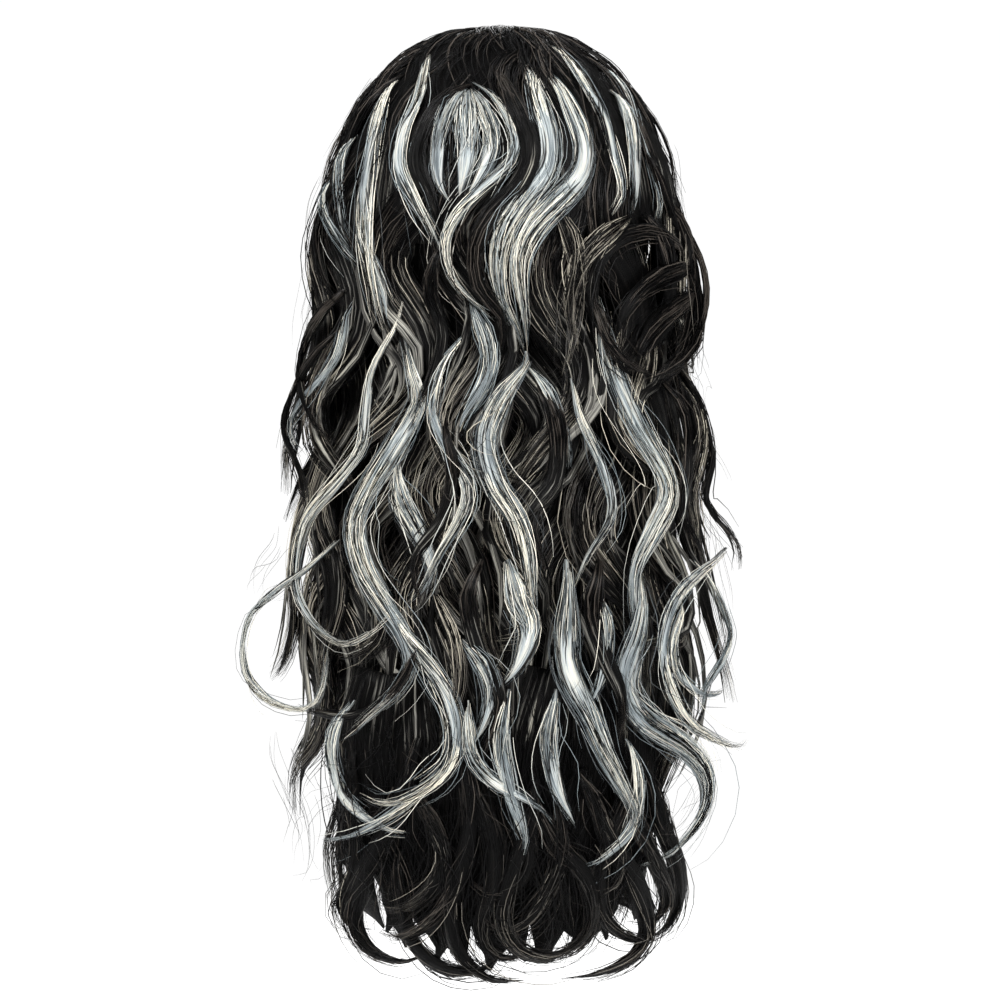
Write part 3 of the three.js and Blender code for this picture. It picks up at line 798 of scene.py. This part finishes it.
# the front hair, swept to either side from the parting
frontFibres = Fibres(41)
partingRows = {"starts": [0.5, 1.0, 1.5, 2.0, 2.45, 2.8], "strands": 30}
for sideSign in (-1, 1):
    for i, level in enumerate(partingRows["starts"]):
        frontFibres.grow(walk({
            "from": sideSign * 178, "level": level, "inner": 0.6, "outer": 0.94,
            "length": mix(0.36, 0.42, spread(i + 1)), "width": 0.026, "sway": 30, "phase": 0.8 * i,
            "sweep": -sideSign * 88, "sweepLong": mix(0.13, 0.10, i / 5), "hook": sideSign * 60, "tip": 0.6,
        }), partingRows["strands"], bundles=6, tone=(0.1, 0.8))
frontLook = {
    "starts": (104, 116, 128), "long": (0.5, 0.56), "wide": 0.85,
    "sway": 34, "hook": 60, "strands": 40,
}
fronts = []
for sideSign in (-1, 1):
    for i, start in enumerate(frontLook["starts"]):
        fronts.append(walk({
            "from": sideSign * start, "level": 3.6, "nested": True, "rise": 0.4, "inner": 0.06, "outer": 0.44,
            "length": hair["length"] * mix(*frontLook["long"], spread(i + 2)),
            "width": hair["lockWidth"] * frontLook["wide"], "sway": frontLook["sway"],
            "phase": i * 0.7, "hook": sideSign * frontLook["hook"] * (1 if i % 2 else -1),
        }))
place(body("front_bodies", fronts, seed=4), "black_fibre", ["front_fall_left", "front_fall_right"])
for guide in fronts:
    frontFibres.grow(guide, frontLook["strands"], bundles=6)
place(frontFibres.mesh("front_strands"), "black_fibre", ["front_fall_left", "front_fall_right"], blackFibre)

# The pale locks, by their places on the picture's plane in millimetres, as seen from straight behind
# each lock's tone range sets it between blue-grey and cream, partly painted shade and highlight, partly its
# own colour
paleChart = [
    {"wide": 12, "strands": 80, "tone": (0.55, 1), "at": [(-64, -18), (-72, -36), (-80, -58), (-85, -79),
     (-87, -101), (-83, -132), (-78, -157), (-75, -185)]},
    {"wide": 8, "strands": 60, "tone": (0.45, 0.95), "at": [(-45, -2), (-47, -20), (-52, -38), (-62, -56),
     (-65, -79), (-54, -101), (-41, -124), (-35, -140)]},
    {"wide": 11, "strands": 46, "tone": (0.2, 0.75), "at": [(-21, -27), (-32, -45), (-39, -67),
     (-39, -89), (-30, -106)]},
    {"wide": 15, "strands": 56, "tone": (0.3, 0.8), "at": [(-21, -28), (-21, -51), (-22, -76), (-27, -104)]},
    {"wide": 11, "strands": 46, "tone": (0.2, 0.75), "at": [(-20, -28), (-10, -46), (-5, -67), (-14, -88),
     (-26, -106)]},
    {"wide": 6, "strands": 50, "tone": (0.45, 0.95), "at": [(-19, -23), (-2, -38), (10, -59), (7, -76),
     (-12, -94), (-27, -110), (-34, -129), (-30, -149), (-17, -165), (1, -180)]},
    {"wide": 14, "strands": 90, "tone": (0.4, 1), "at": [(14, -5), (22, -33), (30, -58), (30, -79),
     (17, -98), (4, -117), (-1, -139), (2, -163), (11, -182), (16, -196)]},
    {"wide": 14, "strands": 80, "tone": (0.35, 0.9), "at": [(30, -15), (44, -42), (54, -64), (52, -84),
     (37, -101), (20, -119), (12, -140), (15, -167), (19, -192)]},
    {"wide": 7, "strands": 45, "tone": (0.5, 1), "at": [(29, 2), (47, -19), (65, -45), (72, -70),
     (76, -95), (70, -111)]},
    {"wide": 12, "strands": 45, "tone": (0.3, 0.8), "at": [(72, -29), (83, -58), (87, -83), (87, -112)]},
    {"wide": 9, "strands": 40, "tone": (0.3, 0.8), "at": [(61, -12), (80, -36), (92, -64), (100, -92),
     (102, -115)]},
    {"wide": 7, "strands": 35, "tone": (0.3, 0.8), "at": [(-92, -58), (-100, -79), (-103, -101),
     (-100, -129)]},
    {"wide": 5, "strands": 25, "tone": (0.3, 0.7), "at": [(-105, -83), (-110, -104), (-105, -123),
     (-92, -142)]},
    {"wide": 14, "strands": 64, "tone": (0.05, 0.6), "at": [(87, -110), (70, -121), (56, -135),
     (48, -154), (46, -175), (50, -196)]},
    {"wide": 12, "strands": 50, "tone": (0.1, 0.6), "at": [(32, -101), (44, -124), (50, -149), (47, -180),
     (41, -211)]},
    {"wide": 7, "strands": 35, "tone": (0.3, 0.85), "at": [(-92, -111), (-83, -132), (-75, -157),
     (-72, -182)]},
    {"wide": 9, "strands": 35, "tone": (0.2, 0.8), "at": [(-96, -163), (-101, -192), (-113, -210),
     (-128, -226), (-134, -241), (-129, -260)]},
    {"wide": 6, "strands": 50, "tone": (0.45, 0.95), "at": [(-64, -163), (-68, -182), (-82, -208),
     (-86, -232), (-88, -254), (-100, -274), (-118, -297), (-127, -319), (-131, -341), (-125, -358),
     (-113, -371), (-96, -378), (-77, -368), (-67, -355)]},
    {"wide": 14, "strands": 110, "tone": (0.5, 1), "at": [(-64, -185), (-56, -208), (-52, -227),
     (-67, -253), (-82, -279), (-90, -303), (-85, -330), (-73, -354), (-61, -375), (-58, -393),
     (-68, -410), (-86, -426), (-100, -436)]},
    {"wide": 12, "strands": 60, "tone": (0.4, 0.95), "at": [(-67, -264), (-61, -288), (-50, -312),
     (-44, -332), (-49, -350)]},
    {"wide": 6, "strands": 50, "tone": (0.5, 1), "at": [(-21, -183), (-34, -200), (-42, -223),
     (-42, -239), (-31, -261), (-21, -279), (-23, -296), (-38, -323), (-50, -345), (-63, -355)]},
    {"wide": 10, "strands": 40, "tone": (0.2, 0.8), "at": [(-19, -163), (-8, -193), (-11, -214),
     (-23, -235), (-28, -251)]},
    {"wide": 12, "strands": 90, "tone": (0.5, 1), "at": [(17, -195), (17, -203), (0, -224), (-10, -250),
     (-4, -277), (9, -298), (15, -317), (19, -344), (22, -375)]},
    {"wide": 7, "strands": 35, "tone": (0.15, 0.7), "at": [(19, -205), (32, -224), (42, -248), (45, -269)]},
    {"wide": 16, "strands": 120, "tone": (0.5, 1), "at": [(62, -157), (66, -185), (73, -208), (88, -241),
     (102, -269), (105, -288), (95, -311), (87, -330), (87, -353), (93, -378)]},
    {"wide": 7, "strands": 50, "tone": (0.3, 0.95), "at": [(47, -212), (50, -235), (65, -264), (72, -286),
     (70, -302), (55, -323), (47, -344)]},
    {"wide": 12, "strands": 40, "tone": (0.05, 0.6), "at": [(118, -213), (129, -251), (123, -285),
     (128, -313)]},
    {"wide": 4, "strands": 40, "tone": (0.5, 1), "at": [(-106, -313), (-121, -330), (-142, -344),
     (-159, -358), (-164, -377), (-160, -396), (-146, -412), (-126, -419), (-115, -414), (-111, -397),
     (-115, -377)]},
    {"wide": 7, "strands": 60, "tone": (0.4, 1), "at": [(149, -318), (128, -332), (113, -350),
     (105, -377), (107, -403), (116, -425), (131, -436), (149, -442), (161, -437)]},
    {"wide": 4, "strands": 35, "tone": (0.4, 1), "at": [(125, -325), (138, -351), (147, -371),
     (143, -388), (131, -406), (129, -425)]},
    {"wide": 6, "strands": 40, "tone": (0.3, 0.9), "at": [(118, -350), (110, -375), (113, -394),
     (122, -404), (134, -410), (148, -406)]},
    {"wide": 9, "strands": 70, "tone": (0.45, 1), "at": [(-70, -358), (-55, -378), (-42, -396),
     (-32, -414), (-28, -434), (-32, -454), (-48, -469), (-70, -477), (-92, -471)]},
    {"wide": 9, "strands": 50, "tone": (0.3, 0.85), "at": [(-96, -413), (-105, -436), (-106, -454),
     (-101, -472), (-90, -484), (-73, -493), (-60, -496)]},
    {"wide": 5, "strands": 35, "tone": (0.5, 1), "at": [(-37, -462), (-61, -480), (-83, -492),
     (-98, -498), (-118, -500)]},
    {"wide": 14, "strands": 60, "tone": (0.35, 0.95), "at": [(5, -325), (12, -350), (19, -369),
     (12, -391), (0, -406)]},
    {"wide": 10, "strands": 40, "tone": (0.15, 0.7), "at": [(-25, -375), (-12, -388), (-5, -406),
     (-9, -425), (-19, -444)]},
    {"wide": 14, "strands": 80, "tone": (0.35, 0.95), "at": [(44, -325), (42, -371), (44, -394),
     (57, -421), (66, -447), (77, -469), (85, -486), (77, -508)]},
    {"wide": 15, "strands": 100, "tone": (0.3, 0.85), "at": [(92, -332), (88, -371), (81, -403),
     (92, -425), (116, -442), (129, -462), (127, -486), (111, -508), (94, -516)]},
    {"wide": 7, "strands": 50, "tone": (0.4, 0.95), "at": [(-21, -413), (-17, -447), (-4, -464),
     (9, -471), (25, -480), (37, -492)]},
    {"wide": 10, "strands": 45, "tone": (0.15, 0.75), "at": [(6, -406), (0, -437), (6, -469), (16, -499),
     (13, -513)]},
    {"wide": 7, "strands": 45, "tone": (0.4, 0.9), "at": [(83, -437), (88, -473), (83, -495), (66, -512),
     (56, -517)]},
    {"wide": 11, "strands": 45, "tone": (0.1, 0.7), "at": [(37, -406), (31, -437), (37, -469), (50, -493)]},
    {"wide": 9, "strands": 40, "tone": (0.2, 0.8), "at": [(62, -344), (68, -375), (65, -400), (56, -419)]},
    {"wide": 11, "strands": 35, "tone": (0.05, 0.5), "at": [(-44, -344), (-31, -375), (-28, -406),
     (-37, -437)]},
]
paleNodes = sorted(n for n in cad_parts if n.startswith("pale_lock"))
paleGuides = drawn(paleChart, {"inner": 0.94, "outer": 1.04, "root": 0.3, "tip": 0.25})


def wider(guide, by):  # the same guide for a wider lock
    return {**guide, "half": guide["half"] * by}


paleness = {"share": 0.63, "body": 0.80, "strands": 0.60, "halo": 0.42, "haloWide": 1.5, "mixedBelow": 0.65}
for part in (0, 1):
    label = ("upper", "lower")[part]
    some = [k for k in range(len(paleChart)) if (paleChart[k]["at"][0][1] < -200) == bool(part)]
    clear = [{**paleGuides[k], "pale": paleness["share"], "edgeShade": 0.25} for k in some
             if paleChart[k]["tone"][1] >= paleness["mixedBelow"]]
    under = body("pale_bodies_" + label, clear, gatheredPale, sides=12, narrow=paleness["body"], thick=0.5,
                 sink=0.5, seed=8 + part)
    place(under, "pale_fibre", paleNodes)
    fibres = Fibres(51 + part)
    for k in some:
        row, guide = paleChart[k], paleGuides[k]
        low, high = row["tone"]
        if high < paleness["mixedBelow"]:
            continue
        fibres.grow(guide, round(row["strands"] * paleness["strands"]), radius=0.00025, bundles=9,
                    tone=(low, high), frizz=0.0007, begins=0.28, loose=0.06, ends=0.72, step=0.0115)
        fibres.grow(wider(guide, paleness["haloWide"]), round(row["strands"] * paleness["halo"]),
                    radius=0.00019, bundles=9, tone=(low * 0.3, high * 0.8), frizz=0.0015, begins=0.35,
                    loose=0.2, ends=0.6, step=0.0125)
    place(fibres.mesh("pale_strands_" + label), "pale_fibre", paleNodes, paleFibre)

# narrow ribbons of lighter hair that weave through the black locks of the back, and warm grey strands on them
mixRows = [(crown[2:9], (0.38, 1.0)), (backGuides[2], (0.34, 1.0)), (backGuides[1], (0.5, 0.92))]
ribbon = {"each": 4, "half": (0.0015, 0.0042), "thick": 0.0016, "pale": (0.34, 0.62), "strands": 30}


def ribbonOn(guide, between, rng):
    start = mix(*between, rng.uniform(0, 0.45))
    stop = mix(start, between[1], rng.uniform(0.6, 1))
    t = np.linspace(0, 1, max(8, round((stop - start) * guide["length"] / 0.014)))
    at = {k: np.interp(mix(start, stop, t), guide["t"], guide[k])
          for k in ("angle", "level", "heading", "perRadian", "perLevel", "thick", "outer", "half")}
    off = at["half"] * (rng.uniform(-0.9, 0.9) + 0.35 * np.sin(rng.uniform(3, 6) * t + rng.uniform(0, 6)))
    high = at["outer"] + (0.001 + 0.0015 * np.sin(math.pi * t)) / at["thick"]
    half = rng.uniform(*ribbon["half"]) * np.sin(math.pi * np.clip(t, 0.02, 0.98)) ** 0.5
    return {
        **at, "t": t, "angle": at["angle"] + np.cos(at["heading"]) * off / at["perRadian"],
        "level": at["level"] - np.sin(at["heading"]) * off / at["perLevel"],
        "inner": high - ribbon["thick"] / at["thick"], "outer": high, "half": half,
        "phase": guide["phase"], "wave": guide["wave"],
        "length": guide["length"] * (stop - start), "pale": rng.uniform(*ribbon["pale"]),
    }


ribbonRng = np.random.default_rng(21)
ribbons = [ribbonOn(guide, between, ribbonRng) for guides, between in mixRows for guide in guides
           for _ in range(ribbon["each"])]
place(body("mixed_ribbons", ribbons, sides=8, narrow=1.0, thick=1.0, seed=22), "pale_fibre", paleNodes)
mixed = Fibres(57)
# warm grey strands on the chart's dim locks: partly mixed beige hair, partly a painted sheen on the black, as
# on the rolled curl at the right
for row, guide in zip(paleChart, paleGuides):
    if row["tone"][1] < paleness["mixedBelow"]:
        mixed.grow(wider(guide, 1.2), row["strands"], radius=0.00024, bundles=7,
                   tone=(0.0, 0.5 + 0.6 * row["tone"][1]), begins=0.55, ends=0.6, step=0.013)
for guides, between in mixRows:
    for guide in guides:
        mixed.grow(guide, ribbon["strands"], radius=0.00023, bundles=6, tone=(0.1, 0.95), frizz=0.001,
                   begins=0.35, between=between, lifted=0.002)
place(mixed.mesh("mixed_strands"), "pale_fibre", paleNodes, warmFibre)

# Black locks that lie over them, drawn the same way
blackChart = [
    {"wide": 12, "strands": 50, "at": [(-19, -25), (-37, -39), (-50, -58), (-54, -79), (-44, -101),
     (-37, -126)]},
    {"wide": 16, "strands": 80, "at": [(-6, -11), (12, -45), (20, -70), (12, -92), (-6, -111),
     (-15, -132), (-12, -157), (3, -176), (0, -201)]},
    {"wide": 21, "strands": 56, "at": [(95, -110), (105, -132), (110, -157), (105, -182), (90, -198)]},
    {"wide": 17, "strands": 56, "at": [(107, -99), (117, -121), (123, -145), (123, -170), (117, -192),
     (103, -208)]},
    {"wide": 11, "strands": 70, "at": [(121, -140), (110, -126), (92, -120), (73, -128), (62, -145),
     (60, -167), (68, -190), (83, -205), (100, -210)]},
    {"wide": 15, "strands": 70, "at": [(126, -144), (108, -146), (91, -157), (79, -173), (75, -190)]},
    {"wide": 15, "strands": 70, "at": [(128, -159), (115, -165), (100, -178), (91, -193), (88, -206)]},
    {"wide": 10, "strands": 70, "at": [(91, -64), (105, -99), (118, -126), (126, -157), (123, -187),
     (110, -206), (92, -215)]},
    {"wide": 7, "strands": 60, "at": [(73, -29), (93, -64), (107, -99), (123, -132), (128, -163),
     (123, -192), (110, -212), (93, -221)]},
    {"wide": 10, "strands": 50, "at": [(60, -161), (65, -182), (73, -200), (88, -213)]},
    {"wide": 11, "strands": 60, "at": [(-62, -18), (-90, -51), (-106, -86), (-115, -120), (-111, -151),
     (-103, -171)]},
    {"wide": 9, "strands": 60, "at": [(-102, -157), (-118, -179), (-129, -204), (-125, -229), (-112, -251)]},
    {"wide": 6, "strands": 40, "at": [(-106, -182), (-125, -208), (-138, -233), (-137, -251),
     (-125, -276), (-121, -300)]},
    {"wide": 11, "strands": 60, "at": [(-37, -126), (-45, -157), (-37, -185), (-44, -213), (-56, -238)]},
    {"wide": 7, "strands": 50, "at": [(118, -207), (128, -235), (136, -260), (132, -288), (146, -310),
     (153, -332)]},
    {"wide": 10, "strands": 50, "at": [(106, -213), (118, -238), (121, -269), (118, -300), (132, -325)]},
    {"wide": 14, "strands": 70, "at": [(25, -213), (37, -244), (35, -276), (19, -300), (28, -332)]},
    {"wide": 10, "strands": 50, "at": [(-37, -238), (-30, -269), (-37, -300), (-55, -325), (-50, -356)]},
    {"wide": 12, "strands": 60, "at": [(-12, -325), (-21, -350), (-14, -381), (0, -413), (-12, -450)]},
    {"wide": 14, "strands": 50, "at": [(65, -325), (59, -356), (67, -384), (78, -413), (75, -442)]},
    {"wide": 5, "strands": 40, "at": [(-50, -375), (-65, -406), (-93, -422), (-118, -420), (-132, -416)]},
]
overGuides = drawn(blackChart, {"inner": 0.95, "outer": 1.07, "root": 0.3, "tip": 0.35})
under = body("over_bodies", overGuides, sides=12, narrow=0.8, thick=0.6, sink=0.3, seed=12)
place(under, "black_fibre", ["crown_hair"])
overFibres = Fibres(61)
for guide, row in zip(overGuides, blackChart):
    overFibres.grow(guide, round(row["strands"] * 0.8), bundles=7, tone=(0.05, 0.95), frizz=0.001,
                    step=0.0125)
for row, guide in zip(paleChart, paleGuides):  # dark streaks through the pale locks
    overFibres.grow(wider(guide, 1.1), row["strands"] // 4, radius=0.00025, bundles=6, tone=(0.0, 0.6),
                    begins=0.3, frizz=0.0012, lifted=0.0006, loose=0.05, step=0.014)
place(overFibres.mesh("over_strands"), "black_fibre", ["crown_hair"], blackFibre)

# The black curls of the longest hair, drawn the same way, on a deep mass of broader locks
# a curl whose tone reaches 1 gets a painted highlight
curlChart = [
    {"wide": 15, "strands": 60, "tone": (0, 0.85), "at": [(-55, -437), (-64, -475), (-80, -503),
     (-93, -528), (-96, -548), (-86, -567), (-65, -576), (-44, -569)]},
    {"wide": 12, "strands": 60, "tone": (0.3, 1), "at": [(-62, -462), (-45, -488), (-37, -511),
     (-44, -530), (-59, -542), (-73, -543), (-83, -536)]},
    {"wide": 14, "strands": 56, "tone": (0, 0.9), "at": [(-25, -437), (-19, -481), (-24, -512),
     (-32, -534), (-47, -553), (-65, -561), (-80, -556)]},
    {"wide": 14, "strands": 56, "tone": (0, 0.85), "at": [(-19, -462), (-5, -500), (-4, -528),
     (-12, -551), (-9, -567), (6, -574), (24, -566)]},
    {"wide": 14, "strands": 60, "tone": (0.1, 0.95), "at": [(25, -456), (19, -493), (5, -528), (1, -549),
     (10, -567), (29, -574), (46, -567), (57, -551)]},
    {"wide": 13, "strands": 60, "tone": (0.3, 1), "at": [(19, -469), (37, -503), (54, -520), (61, -540),
     (56, -559), (39, -571), (21, -567)]},
    {"wide": 14, "strands": 60, "tone": (0, 0.85), "at": [(56, -456), (70, -497), (85, -517), (94, -538),
     (96, -558), (86, -573), (66, -583), (41, -587)]},
    {"wide": 11, "strands": 50, "tone": (0.2, 1), "at": [(75, -462), (93, -498), (106, -520), (110, -537),
     (101, -551), (87, -551)]},
    {"wide": 12, "strands": 50, "tone": (0, 0.85), "at": [(93, -450), (107, -490), (116, -513),
     (118, -536), (110, -554), (93, -564)]},
    {"wide": 10, "strands": 44, "tone": (0, 0.8), "at": [(-100, -444), (-96, -484), (-93, -503),
     (-97, -523), (-106, -538), (-100, -553), (-86, -556)]},
    {"wide": 12, "strands": 50, "tone": (0, 0.8), "at": [(-68, -506), (-65, -537), (-56, -566),
     (-36, -581), (-12, -581), (5, -568)]},
    {"wide": 12, "strands": 50, "tone": (0, 0.85), "at": [(87, -456), (75, -493), (65, -523), (70, -551),
     (91, -563), (110, -554)]},
    {"wide": 12, "strands": 46, "tone": (0, 0.8), "at": [(-39, -493), (-34, -531), (-29, -566),
     (-9, -586), (17, -588)]},
    {"wide": 11, "strands": 46, "tone": (0.2, 1), "at": [(37, -475), (39, -506), (31, -531), (17, -551),
     (0, -556), (-14, -544)]},
    {"wide": 11, "strands": 44, "tone": (0.1, 0.9), "at": [(0, -450), (14, -487), (20, -510), (12, -528),
     (-5, -535), (-19, -526)]},
    {"wide": 9, "strands": 40, "tone": (0.2, 1), "at": [(50, -456), (68, -491), (78, -506), (77, -525),
     (65, -533), (52, -528)]},
]
deepMass = {"locks": 15, "reach": 102, "wide": 0.056, "strands": 38, "rows": [-395, -450, -505, -548, -584]}


def deepGuides():
    guides = []
    for k in range(deepMass["locks"]):
        x = mix(-deepMass["reach"], deepMass["reach"], k / (deepMass["locks"] - 1))
        shrunk = 1 - 0.05 * (x / deepMass["reach"]) ** 2
        at = [(x * (1 - 0.045 * n) + 7 * math.sin(1.9 * n + 2.3 * k),
               z * mix(1, shrunk, n / 4) + 8 * spread(k) * (n == 4)) for n, z in enumerate(deepMass["rows"])]
        low = 0.12 + 0.3 * (k % 2)
        guides.append(chart({"at": at, "inner": low, "outer": low + 0.34, "dip": 0.0,
                             "width": deepMass["wide"], "root": 0.8, "tip": 1.0}))
    return guides


curlFibres = Fibres(63)
curlGuides = drawn(curlChart, {"inner": 0.62, "outer": 1.0, "dip": 0.004, "root": 0.35, "tip": 0.4})
mass = deepGuides()
under = body("curl_bodies", curlGuides + mass, sides=14, narrow=0.78, thick=0.7, seed=15)
place(under, "black_fibre", ["nape_hair"])
for guide, row in zip(curlGuides, curlChart):
    curlFibres.grow(guide, row["strands"], radius=0.0003, bundles=7, tone=row["tone"], frizz=0.0014,
                    loose=0.2, ends=0.75, begins=0.25, step=0.012)
for guide in mass:
    curlFibres.grow(guide, deepMass["strands"], bundles=6, tone=(0.0, 0.6), frizz=0.003, loose=0.3,
                    ends=0.8, begins=0.4, step=0.014, lifted=0.004)
place(curlFibres.mesh("curl_strands"), "black_fibre", ["nape_hair"], blackFibre)
# warm grey strands on the curls, a painted sheen: more on the curls with a painted highlight
sheenStrands = {"bright": 30, "dark": 6}
sheen = Fibres(65)
for guide, row in zip(curlGuides, curlChart):
    count = sheenStrands["bright" if row["tone"][1] > 0.94 else "dark"]
    sheen.grow(guide, count, radius=0.0002, bundles=4, tone=(0.0, 0.55), between=(0.3, 0.9),
               frizz=0.0012, loose=0.2, begins=0.4, ends=0.6, lifted=0.003, step=0.011)
place(sheen.mesh("curl_sheen"), "pale_fibre", ["nape_hair"], warmFibre)

# Fine loose hairs over the whole and beyond the outline
flyaways = {
    "groups": 65, "each": 6, "radius": 0.00013, "length": (0.04, 0.13),
    "levels": (9.7, 1.6), "reach": (145, 70),
}


def looseHairs():
    rng = np.random.default_rng(77)
    fibres = Fibres(78)
    for _ in range(flyaways["groups"]):
        level = mix(*flyaways["levels"], rng.random() ** 1.3)
        reach = mix(*flyaways["reach"], float(smooth((level - 5.5) / 1.5)))
        guide = walk({
            "from": rng.uniform(-reach, reach), "level": level, "inner": 0.97, "outer": 1.04,
            "length": rng.uniform(*flyaways["length"]), "width": 0.05, "sway": rng.uniform(20, 70),
            "phase": rng.uniform(0, 6.3), "lean": rng.normal(0, 30), "wave": rng.uniform(0.5, 1.0),
        })
        fibres.grow(guide, flyaways["each"], radius=flyaways["radius"], loose=1.0, frizz=0.0014, ends=0.5,
                    tone=(0.1, 0.9), begins=0.3, step=0.008)
    return fibres.mesh("loose_hairs")


place(looseHairs(), "black_fibre", ["crown_hair"], blackFibre)
print("triangles in all", sum(totals))
print("hair grown")


# The cap and its band keep their solids, with a net and a weave
def netMaterial(name, look):
    mat, nodes, links, shader = newMaterial(name)
    where = nodes.new("ShaderNodeTexCoord")
    cells = nodes.new("ShaderNodeTexVoronoi")
    cells.feature = "DISTANCE_TO_EDGE"
    cells.inputs["Scale"].default_value = look["scale"]
    links.new(where.outputs["Object"], cells.inputs["Vector"])
    colours = ramp(nodes, [(0.0, look["thread"]), (0.12, look["gap"])])
    links.new(cells.outputs["Distance"], colours.inputs[0])
    links.new(colours.outputs[0], shader.inputs["Base Color"])
    bump = nodes.new("ShaderNodeBump")
    bump.invert = True
    bump.inputs["Strength"].default_value = 0.6
    bump.inputs["Distance"].default_value = 0.0006
    links.new(cells.outputs["Distance"], bump.inputs["Height"])
    links.new(bump.outputs[0], shader.inputs["Normal"])
    shader.inputs["Roughness"].default_value = look["roughness"]
    return mat


capLook = {"scale": 420, "thread": (0.022, 0.022, 0.025), "gap": (0.006, 0.006, 0.007), "roughness": 0.8}
bandLook = {"scale": 900, "thread": (0.04, 0.04, 0.044), "gap": (0.016, 0.016, 0.018), "roughness": 0.75}
for node, look in (("wig_cap", capLook), ("edge_band", bandLook)):
    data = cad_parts[node].data
    data.materials.clear()
    data.materials.append(netMaterial(node, look))


# A plain pale floor below the hanging wig, a white backdrop far behind it, and soft light
studio = {
    "floor": -0.74,
    "floorRadius": 2.3,
    "backdrop": 3.6,
    "backdropPlace": (0, 4.3, 0.2),
    "floorGlow": 0.35,
    "backdropGlow": 1.02,
    "sky": 0.12,
    # place, aim, size, watts
    "lights": [
        ((-1.1, -2.0, 1.6), (0, 0, -0.25), 0.8, 132),
        ((1.3, -1.8, 1.0), (0, 0, -0.3), 0.8, 75),
        ((0.1, 0.2, 1.7), (0, 0, -0.1), 0.8, 14),
        ((0.2, 2.2, 0.9), (0, 0, -0.25), 0.9, 16),
    ],
}


def staged(name, bm):
    data = bpy.data.meshes.new(name)
    bm.to_mesh(data)
    bm.free()
    thing = bpy.data.objects.new(name, data)
    bpy.context.scene.collection.objects.link(thing)
    return data


def makeStudio():
    bm = bmesh.new()
    bmesh.ops.create_circle(bm, cap_ends=True, segments=96, radius=studio["floorRadius"])
    bmesh.ops.translate(bm, verts=bm.verts, vec=(0, 0, studio["floor"]))
    floorMat, _, _, shader = newMaterial("floor")
    shader.inputs["Base Color"].default_value = (0.9, 0.9, 0.9, 1)
    shader.inputs["Roughness"].default_value = 0.9
    shader.inputs["Emission Color"].default_value = (1, 1, 1, 1)
    shader.inputs["Emission Strength"].default_value = studio["floorGlow"]
    staged("floor", bm).materials.append(floorMat)
    bm = bmesh.new()
    bmesh.ops.create_grid(bm, x_segments=1, y_segments=1, size=studio["backdrop"] / 2)
    bmesh.ops.rotate(bm, verts=bm.verts, matrix=mathutils.Matrix.Rotation(math.radians(90), 3, "X"))
    bmesh.ops.translate(bm, verts=bm.verts, vec=studio["backdropPlace"])
    white, _, _, shader = newMaterial("backdrop")
    shader.inputs["Base Color"].default_value = (0, 0, 0, 1)
    shader.inputs["Roughness"].default_value = 1
    shader.inputs["Specular IOR Level"].default_value = 0
    shader.inputs["Emission Color"].default_value = (1, 1, 1, 1)
    shader.inputs["Emission Strength"].default_value = studio["backdropGlow"]
    staged("backdrop", bm).materials.append(white)
    bpy.data.objects["backdrop"].visible_glossy = False
    world = bpy.data.worlds.new("studio")
    world.use_nodes = True
    world.node_tree.nodes["Background"].inputs[0].default_value = (studio["sky"],) * 3 + (1,)
    bpy.context.scene.world = world
    for number, (spot, aim, size, power) in enumerate(studio["lights"]):
        light = bpy.data.lights.new("light" + str(number), "AREA")
        light.size = size
        light.energy = power
        lamp = bpy.data.objects.new("light" + str(number), light)
        bpy.context.scene.collection.objects.link(lamp)
        lamp.location = spot
        way = np.array(aim) - np.array(spot)
        tilt = math.atan2(math.hypot(way[0], way[1]), -way[2])
        lamp.rotation_euler = (tilt, 0, math.atan2(way[0], -way[1]) + math.pi)


makeStudio()
bpy.context.scene.view_settings.view_transform = "Standard"
print("studio set")
